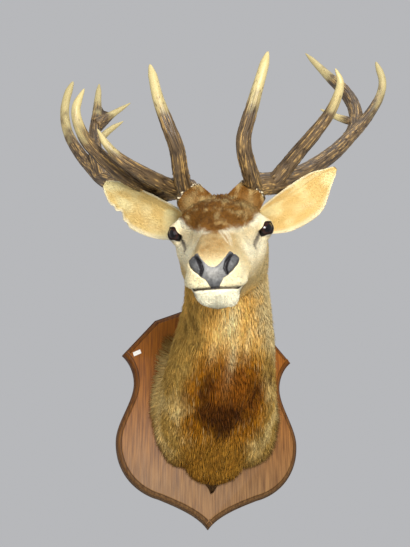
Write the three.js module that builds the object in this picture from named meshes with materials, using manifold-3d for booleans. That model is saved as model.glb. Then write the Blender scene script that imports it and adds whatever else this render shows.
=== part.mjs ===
// A red deer stag's head and neck mounted on a wooden shield, life size, in millimetres.
// +Z is up, the wall is the plane Y = 0, the stag looks toward -Y and a little toward -X,
// and the origin is the centre of the back of the shield. Left and right are the stag's own:
// its left side is at +X.

import * as THREE from 'three';
import { mergeVertices } from 'three/addons/utils/BufferGeometryUtils.js';
import Module from 'manifold-3d';

const wasm = await Module();
wasm.setup();

// ---------------------------------------------------------------- driving dimensions

const GAP = 0.3; // between neighbouring solids

const shield = {
  halfWidth: 206, // at its widest, below the middle
  widestZ: -72,
  waistHalfWidth: 170,
  waistZ: 55,
  hornHalfWidth: 199, // the two upper corners
  hornZ: 120,
  shoulderHalfWidth: 126, // where the sides of the gable start
  shoulderZ: 206,
  heelHalfWidth: 109, // where the rounded sides turn into the point
  heelZ: -196,
  peakZ: 259,
  tipZ: -258,
  thickness: 22,
  mouldingWidth: 12,
  mouldingDrop: 9,
  // How far the control points of the curved sides lie from their ends, as [across, up].
  underHorn: [-19, -16],
  overWaist: [0, 24],
  underWaist: [0, -40],
  overWidest: [0, 42],
  underWidest: [0, -68],
  besideHeel: [51, 13],
  underHeel: [-43, -16],
  overTip: [20, 28],
};

// The head's pose: its own frame has its origin midway between the eyes, and measures
// sideways (to the stag's left), forward (along the face) and up.
const eyesMidpoint = new THREE.Vector3(-73, -497, 235);
const headYaw = 15.7; // degrees, nose toward -X
const headPitch = 23.7; // nose down
const headRoll = 1.6;

// Half sections of the head from the nose to behind the jaw: the top and the bottom of each
// section as [forward, up], and its half widths from the crown down.
const headSections = [
  { top: [250, -52], bottom: [244, -80], wide: [8, 13, 14, 10] }, // nose tip
  { top: [246, -38], bottom: [233, -99], wide: [20, 31, 37, 25] }, // nostrils and lips
  { top: [234, -27], bottom: [216, -116], wide: [23, 37, 44, 31] }, // chin
  { top: [210, -18], bottom: [196, -122], wide: [23, 36, 47, 36] },
  { top: [168, -5], bottom: [162, -120], wide: [22, 34, 47, 38] }, // bridge of the nose
  { top: [118, 11], bottom: [118, -117], wide: [24, 38, 51, 38] },
  { top: [70, 30], bottom: [72, -117], wide: [30, 52, 61, 42] }, // cheeks
  { top: [28, 48], bottom: [34, -121], wide: [42, 70, 72, 48] }, // brow
  { top: [-12, 60], bottom: [2, -128], wide: [48, 79, 80, 56] }, // eyes
  { top: [-58, 68], bottom: [-22, -133], wide: [52, 77, 84, 64] }, // antler bases
  { top: [-104, 62], bottom: [-36, -133], wide: [44, 70, 84, 71] }, // ears, angle of the jaw
  { top: [-142, 44], bottom: [-44, -129], wide: [36, 65, 81, 71] }, // poll and throat
];

// Half sections of the neck down to the shield: top and bottom as [y, z], the middle's x and
// the turn of the section about Z in degrees.
const neckSections = [
  { top: [-342, 309], bottom: [-378, 98], x: -34, turn: 12, wide: [34, 66, 82, 71] },
  { top: [-282, 277], bottom: [-315, 44], x: -20, turn: 8, wide: [38, 74, 92, 78] },
  { top: [-212, 240], bottom: [-238, -20], x: -8, turn: 5, wide: [44, 86, 107, 90] },
  { top: [-142, 203], bottom: [-156, -82], x: 1, turn: 2, wide: [50, 98, 121, 102] },
  { top: [-75, 172], bottom: [-80, -138], x: 6, turn: 0, wide: [55, 107, 132, 110] },
  { top: [0, 152], bottom: [0, -176], x: 8, turn: 0, wide: [55, 106, 131, 104] },
];
const widthHeights = [0.94, 0.74, 0.45, 0.18]; // where the half widths lie, as shares of height

// Rounded forms that rise from (or sink into) the head on both sides, in the head's frame.
const headForms = [
  { at: [76, 16, 34], reach: 20, rise: 9 }, // brow ridge over the eye
  { at: [58, -60, 68], reach: 30, rise: 15 }, // stump under the antler
  { at: [34, 226, -46], reach: 15, rise: 5 }, // wing of the nostril
  { at: [60, 56, -6], reach: 22, rise: -11 }, // hollow in front of the eye
  { at: [74, 22, -36], reach: 18, rise: 4 }, // cheekbone under the eye
  { at: [40, 120, -100], reach: 26, rise: -3 }, // behind the corner of the mouth
];

const mouthHeight = -89; // the closed mouth, in the head's frame
const jawBack = 100; // the lower jaw reaches back from the chin to here

const eyeball = { at: [71, 8, 0], radius: 17.5 };
const ballMeridians = 14;
const ballParallels = 8;

const nosePad = { back: 226, bottom: -86, top: -34, dip: 15, waist: 13, halfWidth: 34 };

const ear = {
  root: [70, -104, 12],
  tip: [213, -42, 100],
  facing: [-0.3, 0.9, -0.25], // the way its hollow faces
  // share of the length: reach of the blade below and above its middle line, and its cup
  blade: [
    { along: 0, below: 30, above: 20, cup: 20 },
    { along: 0.2, below: 48, above: 22, cup: 24 },
    { along: 0.42, below: 54, above: 23, cup: 20 },
    { along: 0.62, below: 51, above: 22, cup: 15 },
    { along: 0.8, below: 36, above: 19, cup: 10 },
    { along: 0.93, below: 19, above: 12, cup: 5 },
    { along: 1, below: 6, above: 5, cup: 1 },
  ],
  thickness: 7,
  edge: 3,
};

const burr = { at: [60, -64, 76], facing: [0.6, -0.35, 0.72], radius: 29, height: 11 };

// Antler branches: middle lines in the head's frame (side is always counted outward), with
// the radius at the root, halfway and at the tip. The beam runs on into the outer tine, and
// its fork is the point of its line where they part.
const antlers = {
  right: {
    side: -1,
    beam: {
      line: [[50, -56, 62], [64, -68, 80], [92, -90, 84], [124, -116, 80], [160, -150, 90], [209, -201, 103],
        [257, -258, 121], [289, -297, 150], [323, -338, 189], [350, -374, 236], [359, -392, 284],
        [353, -412, 330], [347, -427, 364]],
      radii: [22, 13.5, 2],
    },
    fork: 6,
    tines: {
      brow_tine: {
        line: [[66, -60, 74], [68, -20, 112], [69, 11, 151], [81, 26, 193], [94, 29, 237], [101, 26, 276],
          [106, 22, 300]],
        radii: [15, 12, 3],
      },
      bez_tine: {
        line: [[78, -74, 82], [106, -22, 98], [142, 22, 122], [170, 46, 144], [188, 55, 166],
          [202, 49, 191]],
        radii: [13, 10, 2],
      },
      trez_tine: {
        line: [[126, -114, 82], [165, -46, 106], [196, 0, 134], [222, 31, 167], [233, 50, 197],
          [235, 54, 228], [221, 41, 263]],
        radii: [14, 11, 2],
      },
      crown: {
        line: [[260, -262, 124], [280, -305, 178], [290, -352, 228], [291, -398, 278], [294, -437, 318],
          [296, -478, 363]],
        radii: [13, 11.5, 2],
      },
      crown_upper_prong: {
        line: [[290, -376, 252], [253, -410, 281], [214, -422, 304]],
        radii: [15, 7.5, 2],
      },
      crown_lower_prong: {
        line: [[285, -330, 206], [255, -357, 237], [226, -376, 257]],
        radii: [9, 6.5, 2],
      },
    },
  },
  left: {
    side: 1,
    beam: {
      line: [[50, -56, 62], [64, -68, 78], [84, -82, 82], [106, -98, 82], [133, -123, 90], [174, -164, 108],
        [226, -221, 142], [262, -264, 173], [290, -297, 199], [321, -337, 233], [347, -371, 271],
        [358, -400, 310], [350, -430, 357]],
      radii: [22, 13.5, 2],
    },
    fork: 7,
    tines: {
      brow_tine: {
        line: [[64, -60, 72], [58, -14, 102], [51, 16, 137], [53, 29, 166], [68, 40, 207], [85, 43, 254],
          [102, 39, 303]],
        radii: [15, 12, 3],
      },
      trez_tine: {
        line: [[96, -92, 78], [122, -76, 102], [152, -62, 139], [178, -44, 165], [204, -30, 195],
          [220, -16, 224], [226, -6, 249], [218, -2, 273]],
        radii: [15, 12, 2],
      },
      crown: {
        line: [[262, -264, 174], [284, -318, 204], [290, -366, 247], [275, -414, 293], [244, -471, 341],
          [198, -524, 407]],
        radii: [14, 12, 2],
      },
      crown_lower_prong: {
        line: [[285, -328, 212], [251, -346, 228], [215, -366, 251]],
        radii: [9, 6.5, 2],
      },
    },
  },
};
const branchSides = 8;
const burrMeridians = 12;
const burrParallels = 7;

// ---------------------------------------------------------------- materials

const finishes = {
  wood: { color: 0x7d5636, roughness: 0.5 },
  coat: { color: 0xa98a5c, roughness: 0.9 },
  paleCoat: { color: 0xe3cfa4, roughness: 0.9 },
  nose: { color: 0x5b6168, roughness: 0.55 },
  eye: { color: 0x140c08, roughness: 0.08 },
  antler: { color: 0x5b4228, roughness: 0.6 },
};

const material = (finish) => new THREE.MeshStandardMaterial({ metalness: 0, ...finishes[finish] });

const model = new THREE.Group();

function addNode(name, solid, finish) {
  const mesh = new THREE.Mesh(toGeometry(solid), material(finish));
  mesh.name = name;
  model.add(mesh);
}

// ---------------------------------------------------------------- solids

function toSolid(geometry) {
  const bare = geometry.clone();
  bare.deleteAttribute('normal');
  bare.deleteAttribute('uv');
  const merged = mergeVertices(bare, 1e-4);
  return new wasm.Manifold(new wasm.Mesh({
    numProp: 3,
    vertProperties: new Float32Array(merged.attributes.position.array),
    triVerts: new Uint32Array(merged.index.array),
  }));
}

function toGeometry(solid) {
  const { vertProperties, triVerts, numProp } = solid.getMesh();
  const geometry = new THREE.BufferGeometry();
  const positions = new Float32Array((vertProperties.length / numProp) * 3);
  for (let v = 0; v < positions.length / 3; v += 1) {
    positions.set(vertProperties.subarray(v * numProp, v * numProp + 3), v * 3);
  }
  geometry.setAttribute('position', new THREE.BufferAttribute(positions, 3));
  geometry.setIndex(new THREE.BufferAttribute(new Uint32Array(triVerts), 1));
  geometry.computeVertexNormals();
  return geometry;
}

// A closed solid through rings of points, with a flat fan at each end.
function solidFromRings(rings) {
  const count = rings[0].length;
  const points = rings.flat();
  const faces = [];
  const quad = (a, b, c, d) => faces.push(a, b, c, a, c, d);
  for (let r = 0; r + 1 < rings.length; r += 1) {
    for (let i = 0; i < count; i += 1) {
      const next = (i + 1) % count;
      quad(r * count + i, r * count + next, (r + 1) * count + next, (r + 1) * count + i);
    }
  }
  for (const end of [0, rings.length - 1]) {
    const middle = points.length;
    points.push(average(rings[end]));
    for (let i = 0; i < count; i += 1) {
      const a = end * count + i;
      const b = end * count + ((i + 1) % count);
      faces.push(...(end === 0 ? [middle, b, a] : [middle, a, b]));
    }
  }
  const geometry = new THREE.BufferGeometry();
  geometry.setAttribute('position', new THREE.Float32BufferAttribute(points.flatMap((p) => p.toArray()), 3));
  geometry.setIndex(faces);
  const solid = toSolid(geometry);
  return solid.volume() > 0 ? solid : toSolid(flipped(geometry));
}

function flipped(geometry) {
  const turned = geometry.clone();
  turned.setIndex(Array.from(geometry.index.array).reverse());
  return turned;
}

const largest = (solid) => solid.decompose().sort((a, b) => b.volume() - a.volume())[0];

function average(points) {
  const sum = points.reduce((total, point) => total.add(point), new THREE.Vector3());
  return sum.divideScalar(points.length);
}

// Everything on the far side of a plane, as one large block.
function halfSpace(point, normal) {
  const size = 2000; // wider than the whole model
  const facing = normal.clone().normalize();
  const block = new THREE.BoxGeometry(size, size, size);
  block.applyQuaternion(new THREE.Quaternion().setFromUnitVectors(new THREE.Vector3(0, 0, 1), facing));
  const middle = point.clone().addScaledVector(facing, (size + GAP) / 2);
  block.translate(middle.x, middle.y, middle.z);
  return toSolid(block);
}

// ---------------------------------------------------------------- the head's frame

const radians = THREE.MathUtils.degToRad;

function makeHeadFrame() {
  const [yaw, pitch, roll] = [headYaw, headPitch, headRoll].map(radians);
  const level = new THREE.Vector3(Math.cos(yaw), -Math.sin(yaw), 0);
  const ahead = new THREE.Vector3(-Math.sin(yaw), -Math.cos(yaw), 0);
  const forward = ahead.clone().multiplyScalar(Math.cos(pitch));
  forward.z = -Math.sin(pitch);
  const upright = ahead.clone().multiplyScalar(Math.sin(pitch));
  upright.z = Math.cos(pitch);
  const sideways = level.clone().multiplyScalar(Math.cos(roll)).addScaledVector(upright, Math.sin(roll));
  const up = upright.clone().multiplyScalar(Math.cos(roll)).addScaledVector(level, -Math.sin(roll));
  return new THREE.Matrix4().makeBasis(sideways, forward, up).setPosition(eyesMidpoint);
}

const headFrame = makeHeadFrame();
const headPoint = (place) => new THREE.Vector3(...place).applyMatrix4(headFrame);
const headDirection = (place) => headPoint(place).sub(eyesMidpoint).normalize();

// ---------------------------------------------------------------- head and neck

const ringPoints = 24;
const stepsPerSection = 2;

// The guide points of one section: top, down the left, bottom, up the right.
function sectionGuides(top, bottom, sideways, wide, grow) {
  const up = top.clone().sub(bottom).normalize();
  const high = top.clone().addScaledVector(up, grow);
  const low = bottom.clone().addScaledVector(up, -grow);
  const across = (sign) => wide.map((width, i) => low.clone().lerp(high, widthHeights[i])
    .addScaledVector(sideways, sign * (width + grow)));
  return [high, ...across(1), low, ...across(-1).reverse()];
}

function bodyGuides(grow) {
  const fromHead = headSections.map(({ top, bottom, wide }) => sectionGuides(
    headPoint([0, ...top]), headPoint([0, ...bottom]), headDirection([1, 0, 0]), wide, grow));
  const fromNeck = neckSections.map(({ top, bottom, x, turn, wide }) => sectionGuides(
    new THREE.Vector3(x, ...top),
    new THREE.Vector3(x, ...bottom),
    new THREE.Vector3(Math.cos(radians(turn)), -Math.sin(radians(turn)), 0),
    wide,
    grow,
  ));
  return [...fromHead, ...fromNeck];
}

function smoothThrough(points, closed, count) {
  const curve = new THREE.CatmullRomCurve3(points, closed, 'catmullrom', 0.5);
  const last = closed ? count : count - 1;
  return Array.from({ length: count }, (_, i) => curve.getPoint(i / last));
}

// Moves a point outward from its section's middle by the rounded forms near it.
function addForms(point, middle) {
  const outward = point.clone().sub(middle).normalize();
  let rise = 0;
  for (const side of [-1, 1]) {
    for (const form of headForms) {
      const [across, forward, up] = form.at;
      const distance = point.distanceTo(headPoint([side * across, forward, up]));
      rise += form.rise * Math.exp(-((distance / form.reach) ** 2));
    }
  }
  return point.addScaledVector(outward, rise);
}

function bodySolid(grow) {
  const guides = bodyGuides(grow);
  const sections = guides.map((ring) => smoothThrough(ring, true, ringPoints));
  const count = (sections.length - 1) * stepsPerSection + 1;
  const lines = sections[0].map((_, i) => smoothThrough(sections.map((ring) => ring[i]), false, count));
  const rings = Array.from({ length: count }, (_, r) => {
    const ring = lines.map((line) => line[r].clone());
    const middle = average(ring);
    return ring.map((point) => addForms(point, middle));
  });
  return solidFromRings(rings);
}

const body = bodySolid(0);
const roomForBody = bodySolid(GAP);

const boardFront = new THREE.Vector3(0, -shield.thickness - GAP / 2, 0);
const roomward = new THREE.Vector3(0, -1, 0);
const bodyOnBoard = body.intersect(halfSpace(boardFront, roomward));

// The head parts from the neck in a plane through the poll and the throat.
const parting = { point: headPoint([0, -152, 40]), normal: headDirection([0, 175, 112]) };
const neck = bodyOnBoard.intersect(halfSpace(parting.point, parting.normal.clone().negate()));
const wholeHead = bodyOnBoard.intersect(halfSpace(parting.point, parting.normal));

const bothSides = { right: -1, left: 1 };

function eyeSolid(side, grow) {
  const ball = new THREE.SphereGeometry(eyeball.radius + grow, ballMeridians, ballParallels);
  const [across, forward, up] = eyeball.at;
  const middle = headPoint([side * across, forward, up]);
  ball.translate(middle.x, middle.y, middle.z);
  return toSolid(ball);
}

// The bare skin of the nose: a rounded V between the nostrils, cut from the front of the head.
function noseBlock(grow) {
  const { back, bottom, top, dip, waist, halfWidth } = nosePad;
  const wide = halfWidth + grow;
  const narrow = waist / 2 + grow;
  const high = top + grow;
  const low = bottom - grow;
  const outline = new THREE.Shape();
  outline.moveTo(-narrow, low);
  outline.lineTo(narrow, low);
  outline.quadraticCurveTo(waist, low + waist, wide * 0.8, low + 2 * waist);
  outline.quadraticCurveTo(wide, low + 2.4 * waist, wide, high - waist);
  outline.quadraticCurveTo(wide, high, wide * 0.6, high);
  outline.quadraticCurveTo(waist, high, 0, high - dip);
  outline.quadraticCurveTo(-waist, high, -wide * 0.6, high);
  outline.quadraticCurveTo(-wide, high, -wide, high - waist);
  outline.quadraticCurveTo(-wide, low + 2.4 * waist, -wide * 0.8, low + 2 * waist);
  outline.quadraticCurveTo(-waist, low + waist, -narrow, low);
  const block = new THREE.ExtrudeGeometry(outline, { depth: 100, bevelEnabled: false, curveSegments: 4 });
  const place = new THREE.Matrix4().makeBasis(
    headDirection([1, 0, 0]),
    headDirection([0, 0, 1]),
    headDirection([0, 1, 0]),
  );
  place.setPosition(headPoint([0, back - grow, 0]));
  block.applyMatrix4(place);
  return toSolid(block);
}

const mouthUpper = halfSpace(headPoint([0, 0, mouthHeight]), headDirection([0, 0, 1]));
const mouthLower = halfSpace(headPoint([0, 0, mouthHeight]), headDirection([0, 0, -1]));
const jawFront = halfSpace(headPoint([0, jawBack, 0]), headDirection([0, 1, 0]));
const jawRear = halfSpace(headPoint([0, jawBack, 0]), headDirection([0, -1, 0]));

const lowerJaw = wholeHead.intersect(mouthLower).intersect(jawFront);
const aboveJaw = wholeHead.intersect(mouthUpper).add(wholeHead.intersect(jawRear));
const nose = wholeHead.intersect(mouthUpper).intersect(noseBlock(0));

const eyes = {};
let head = aboveJaw.subtract(noseBlock(GAP));
for (const [name, side] of Object.entries(bothSides)) {
  eyes[name] = eyeSolid(side, 0);
  head = head.subtract(eyeSolid(side, GAP));
}

addNode('neck', neck, 'coat');
addNode('head', largest(head), 'paleCoat');
addNode('lower_jaw', lowerJaw, 'paleCoat');
addNode('nose_pad', largest(nose), 'nose');
for (const name of Object.keys(bothSides)) {
  addNode(`eye_${name}`, eyes[name], 'eye');
}

// ---------------------------------------------------------------- antlers

// A round branch along a smooth line, its radius given at the root, halfway and at the tip.
function branchSolid({ line, radii }, side, grow) {
  const curve = new THREE.CatmullRomCurve3(
    line.map(([across, forward, up]) => headPoint([side * across, forward, up])),
    false,
    'centripetal',
  );
  const steps = 2 * line.length;
  const frames = curve.computeFrenetFrames(steps, false);
  const [root, half, tip] = radii;
  const rings = Array.from({ length: steps + 1 }, (_, r) => {
    const t = r / steps;
    const radius = root * (1 - t) * (1 - 2 * t) + 4 * half * t * (1 - t) + tip * t * (2 * t - 1) + grow;
    const middle = curve.getPointAt(t);
    return Array.from({ length: branchSides }, (__, i) => {
      const angle = (i / branchSides) * 2 * Math.PI;
      return middle.clone()
        .addScaledVector(frames.normals[r], radius * Math.cos(angle))
        .addScaledVector(frames.binormals[r], radius * Math.sin(angle));
    });
  });
  return solidFromRings(rings);
}

// The knobbly ring round the antler's foot, as a flattened ball.
function burrSolid(side, grow) {
  const ball = new THREE.SphereGeometry(1, burrMeridians, burrParallels);
  ball.scale(burr.radius + grow, burr.radius + grow, burr.height + grow);
  const facing = headDirection([side * burr.facing[0], burr.facing[1], burr.facing[2]]);
  ball.applyQuaternion(new THREE.Quaternion().setFromUnitVectors(new THREE.Vector3(0, 0, 1), facing));
  const middle = headPoint([side * burr.at[0], burr.at[1], burr.at[2]]);
  ball.translate(middle.x, middle.y, middle.z);
  return toSolid(ball);
}

function addAntler(name, { side, beam, fork, tines }) {
  const main = (grow) => branchSolid(beam, side, grow).add(burrSolid(side, grow));
  const toWorld = (i) => headPoint([side * beam.line[i][0], beam.line[i][1], beam.line[i][2]]);
  const forkPoint = toWorld(fork);
  const onward = toWorld(fork + 1).sub(toWorld(fork - 1));
  const clear = main(0).subtract(roomForBody);
  const inner = clear.intersect(halfSpace(forkPoint, onward.clone().negate()));
  const outer = clear.intersect(halfSpace(forkPoint, onward));
  addNode(`antler_${name}_beam`, largest(inner), 'antler');
  addNode(`antler_${name}_outer_tine`, largest(outer), 'antler');

  let taken = main(GAP).add(roomForBody);
  for (const [tine, branch] of Object.entries(tines)) {
    addNode(`antler_${name}_${tine}`, largest(branchSolid(branch, side, 0).subtract(taken)), 'antler');
    taken = taken.add(branchSolid(branch, side, GAP));
  }
  return taken;
}

const roomForAntler = {};
for (const [name, antler] of Object.entries(antlers)) {
  roomForAntler[name] = addAntler(name, antler);
}

// ---------------------------------------------------------------- ears

const earSteps = 2;
const earAcross = 6;

// A cupped leaf: each ring goes across its hollow face and back across its outside.
function earSolid(side) {
  const mirrored = ([across, forward, up]) => [side * across, forward, up];
  const root = headPoint(mirrored(ear.root));
  const tip = headPoint(mirrored(ear.tip));
  const facing = headDirection(mirrored(ear.facing));
  const axis = tip.clone().sub(root).normalize();
  const upward = new THREE.Vector3().crossVectors(axis, facing).normalize();
  upward.multiplyScalar(Math.sign(upward.dot(headDirection([0, 0, 1]))));

  const rings = ear.blade.map(({ along, below, above, cup }) => {
    const middle = root.clone().lerp(tip, along);
    const face = (share, depth) => middle.clone()
      .addScaledVector(upward, share * (share < 0 ? below : above))
      .addScaledVector(facing, -cup * (1 - share ** 2) - depth);
    const shares = Array.from({ length: earAcross + 1 }, (_, i) => (2 * i) / earAcross - 1);
    const front = shares.map((share) => face(share, 0));
    const back = shares.map((share) => face(share, ear.edge + (ear.thickness - ear.edge) * (1 - share ** 2)));
    return [...front, ...back.reverse()];
  });
  const count = (rings.length - 1) * earSteps + 1;
  const lines = rings[0].map((_, i) => smoothThrough(rings.map((ring) => ring[i]), false, count));
  return solidFromRings(Array.from({ length: count }, (_, r) => lines.map((line) => line[r])));
}

for (const [name, side] of Object.entries(bothSides)) {
  const blade = earSolid(side).subtract(roomForBody).subtract(roomForAntler[name]);
  addNode(`ear_${name}`, largest(blade), 'paleCoat');
}

// ---------------------------------------------------------------- shield

const straightEdges = 2; // from the peak to the shoulder and on to the horn
const curveSteps = 6;

function shieldOutline() {
  const half = (side) => {
    const path = new THREE.CurvePath();
    const at = ([x, z], [across, up] = [0, 0]) => new THREE.Vector2(side * (x + across), z + up);
    const peak = [0, shield.peakZ];
    const shoulder = [shield.shoulderHalfWidth, shield.shoulderZ];
    const horn = [shield.hornHalfWidth, shield.hornZ];
    const waist = [shield.waistHalfWidth, shield.waistZ];
    const widest = [shield.halfWidth, shield.widestZ];
    const heel = [shield.heelHalfWidth, shield.heelZ];
    const tip = [0, shield.tipZ];
    const bend = (from, leaving, arriving, to) => path.add(
      new THREE.CubicBezierCurve(at(from), at(from, leaving), at(to, arriving), at(to)));
    path.add(new THREE.LineCurve(at(peak), at(shoulder)));
    path.add(new THREE.LineCurve(at(shoulder), at(horn)));
    bend(horn, shield.underHorn, shield.overWaist, waist);
    bend(waist, shield.underWaist, shield.overWidest, widest);
    bend(widest, shield.underWidest, shield.besideHeel, heel);
    bend(heel, shield.underHeel, shield.overTip, tip);
    return path.curves.flatMap((curve, i) => curve.getPoints(i < straightEdges ? 1 : curveSteps).slice(1));
  };
  const peakPoint = new THREE.Vector2(0, shield.peakZ);
  return new THREE.Shape([peakPoint, ...half(1), ...half(-1).reverse().slice(1)]);
}

// The extrusion is rounded at front and back, and its back is cut off flat at the wall.
function shieldSolid() {
  const { thickness, mouldingWidth, mouldingDrop } = shield;
  const board = new THREE.ExtrudeGeometry(shieldOutline(), {
    depth: thickness,
    bevelThickness: mouldingDrop,
    bevelSize: mouldingWidth,
    bevelOffset: -mouldingWidth,
    bevelSegments: 3,
  });
  board.rotateX(Math.PI / 2);
  board.translate(0, mouldingDrop, 0);
  const solid = toSolid(board);
  return solid.intersect(halfSpace(new THREE.Vector3(0, GAP / 2, 0), new THREE.Vector3(0, -1, 0)));
}

addNode('shield', shieldSolid(), 'wood');

export default model;
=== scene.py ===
"""The looks of the stag's head mount: skin, coat, eyes, antlers and shield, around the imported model.

Shapes are worked out in millimetres, in the part's frame (+Z up, the wall at Y = 0, the stag facing
-Y), or in the head's own frame: sideways to the stag's left, forward along the face, and up.
"""

import itertools
import math

import bpy
import numpy as np
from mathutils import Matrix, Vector
from mathutils.bvhtree import BVHTree


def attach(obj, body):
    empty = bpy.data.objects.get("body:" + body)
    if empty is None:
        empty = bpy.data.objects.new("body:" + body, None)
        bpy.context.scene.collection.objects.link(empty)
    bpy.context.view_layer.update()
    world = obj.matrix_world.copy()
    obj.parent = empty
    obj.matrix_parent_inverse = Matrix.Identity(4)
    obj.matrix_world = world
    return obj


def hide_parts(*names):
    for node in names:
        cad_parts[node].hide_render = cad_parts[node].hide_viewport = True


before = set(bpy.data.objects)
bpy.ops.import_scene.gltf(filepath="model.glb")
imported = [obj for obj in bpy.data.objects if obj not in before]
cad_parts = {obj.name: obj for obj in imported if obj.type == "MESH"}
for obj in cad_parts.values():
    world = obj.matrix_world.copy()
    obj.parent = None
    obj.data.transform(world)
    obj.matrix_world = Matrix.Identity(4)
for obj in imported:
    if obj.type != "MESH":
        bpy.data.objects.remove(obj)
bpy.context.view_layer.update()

MM = 0.001  # metres in a millimetre
SIDES = {"right": -1, "left": 1}  # the stag's own right and left
rng = np.random.default_rng(11)

# ------------------------------------------------------------------ driving dimensions

BOARD_FRONT = -22.0  # y of the shield's front face

EYES_MIDPOINT = np.array([-73.0, -497.0, 235.0])
HEAD_YAW, HEAD_PITCH, HEAD_ROLL = np.radians([15.7, 23.7, 1.6])

# Sections as in the solids: top and bottom as (forward, up), half widths from the crown down.
HEAD_SECTIONS = [
    ((250, -52), (244, -80), (8, 13, 14, 10)),  # nose tip
    ((246, -38), (233, -99), (20, 31, 37, 25)),  # nostrils and lips
    ((234, -27), (216, -116), (23, 37, 44, 31)),  # chin
    ((210, -18), (196, -122), (23, 36, 47, 36)),
    ((168, -5), (162, -120), (22, 34, 47, 38)),  # bridge of the nose
    ((118, 11), (118, -117), (24, 38, 51, 38)),
    ((70, 30), (72, -117), (30, 52, 61, 42)),  # cheeks
    ((28, 48), (34, -121), (42, 70, 72, 48)),  # brow
    ((-12, 60), (2, -128), (48, 79, 80, 56)),  # eyes
    ((-58, 68), (-22, -133), (52, 77, 84, 64)),  # antler bases
    ((-104, 62), (-36, -133), (44, 70, 84, 71)),  # ears, angle of the jaw
    ((-142, 44), (-44, -129), (36, 65, 81, 71)),  # poll and throat
]
# Top and bottom as (y, z), the middle's x, the turn in degrees, the half widths.
NECK_SECTIONS = [
    ((-342, 309), (-378, 98), -34, 12, (34, 66, 82, 71)),
    ((-282, 277), (-315, 44), -20, 8, (38, 74, 92, 78)),
    ((-212, 240), (-238, -20), -8, 5, (44, 86, 107, 90)),
    ((-142, 203), (-156, -82), 1, 2, (50, 98, 121, 102)),
    ((-75, 172), (-80, -138), 6, 0, (55, 107, 132, 110)),
    ((0, 152), (0, -176), 8, 0, (55, 106, 131, 104)),
]
WIDTH_HEIGHTS = (0.94, 0.74, 0.45, 0.18)  # shares of the height at which the half widths lie

# Rounded forms on both sides of the head: place, reach and rise.
HEAD_FORMS = [
    ((76, 16, 34), 20, 12),  # brow ridge
    ((58, -60, 68), 30, 15),  # stump under the antler
    ((34, 226, -46), 15, 5),  # wing of the nostril
    ((60, 56, -6), 22, -11),  # hollow in front of the eye
    ((74, 22, -36), 18, 4),  # cheekbone
    ((40, 120, -100), 26, -3),  # behind the corner of the mouth
]

ROWS_PER_SECTION = [22, 18, 20, 26, 28, 28, 28, 28, 26, 24, 20, 20, 18, 18, 18, 18, 14]
RING_POINTS = 256
LAST_SHARE = 0.715  # the last stretch of neck stops at the shield's front
CAP_ROWS = 12
CAP_BULGE = 3.0
SMALLEST_RING = 0.03  # of the cap, as a share of the first section


# ------------------------------------------------------------------ small tools


def smoothstep(low, high, value):
    share = np.clip((np.asarray(value, float) - low) / (high - low), 0, 1)
    return share * share * (3 - 2 * share)


def bell(distance, reach):
    return np.exp(-((distance / reach) ** 2))


def unit(vectors):
    length = np.linalg.norm(vectors, axis=-1, keepdims=True)
    return vectors / np.maximum(length, 1e-9)


def split(points):
    return points[..., 0], points[..., 1], points[..., 2]


def mirrored(places, side):
    """One place or many, given for the stag's left, on the side asked for."""
    return np.asarray(places, float) * (side, 1, 1)


def fold(head):
    """Both sides of the head laid on its left side."""
    return np.concatenate([np.abs(head[..., :1]), head[..., 1:]], -1)


def distance_to(points, place):
    return np.linalg.norm(points - np.array(place), axis=-1)


def to_segment(points, start, end):
    start, end = np.array(start, float), np.array(end, float)
    along = end - start
    share = np.clip((points - start) @ along / (along @ along), 0, 1)
    return np.linalg.norm(points - start - share[..., None] * along, axis=-1)


def table_at(value, table):
    """Reads a table of (place, value) rows at the given places, straight between the rows."""
    return np.interp(value, *zip(*table))


def turns(count):
    """Even angles once round."""
    return np.arange(count) / count * 2 * math.pi


def spokes(first, second, angle):
    return first * np.cos(angle)[..., None] + second * np.sin(angle)[..., None]


def lattice(cells, seed):
    """A pseudo-random number from 0 to 1 for each whole-numbered cell."""
    x, y, z = (cells[..., i].astype(np.int64) for i in range(3))
    mixed = x * 73856093 ^ y * 19349663 ^ z * 83492791 ^ (seed * 2654435761 % 4294967296)
    mixed = (mixed ^ (mixed >> 13)) * 1274126177 & 0x7FFFFFFF
    mixed = (mixed ^ (mixed >> 16)) * 668265263 & 0x7FFFFFFF
    return (mixed & 0xFFFF) / 65535.0


def noise(points, size, seed=0, squeeze=(1, 1, 1)):
    """Smooth noise from -1 to 1, with features of about the given size, drawn out where squeeze is small."""
    scaled = np.asarray(points, float) * squeeze / size
    cell = np.floor(scaled)
    share = scaled - cell
    share = share * share * (3 - 2 * share)
    total = np.zeros(scaled.shape[:-1])
    for corner in itertools.product((0, 1), repeat=3):
        weight = np.prod(np.where(corner, share, 1 - share), axis=-1)
        total += weight * lattice(cell + np.array(corner), seed)
    return 2 * total - 1


# ------------------------------------------------------------------ frames


def make_head_axes():
    ahead = np.array([-math.sin(HEAD_YAW), -math.cos(HEAD_YAW), 0])
    level = np.array([math.cos(HEAD_YAW), -math.sin(HEAD_YAW), 0])
    above = np.array([0, 0, 1])
    forward = ahead * math.cos(HEAD_PITCH) - above * math.sin(HEAD_PITCH)
    upright = ahead * math.sin(HEAD_PITCH) + above * math.cos(HEAD_PITCH)
    sideways = level * math.cos(HEAD_ROLL) + upright * math.sin(HEAD_ROLL)
    up = upright * math.cos(HEAD_ROLL) - level * math.sin(HEAD_ROLL)
    return np.array([sideways, forward, up])


HEAD_AXES = make_head_axes()


def from_head(places):
    return EYES_MIDPOINT + np.asarray(places, float) @ HEAD_AXES


def to_head(points):
    return (np.asarray(points, float) - EYES_MIDPOINT) @ HEAD_AXES.T


def head_direction(direction):
    return unit(np.asarray(direction, float) @ HEAD_AXES)


# ------------------------------------------------------------------ colours


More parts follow.
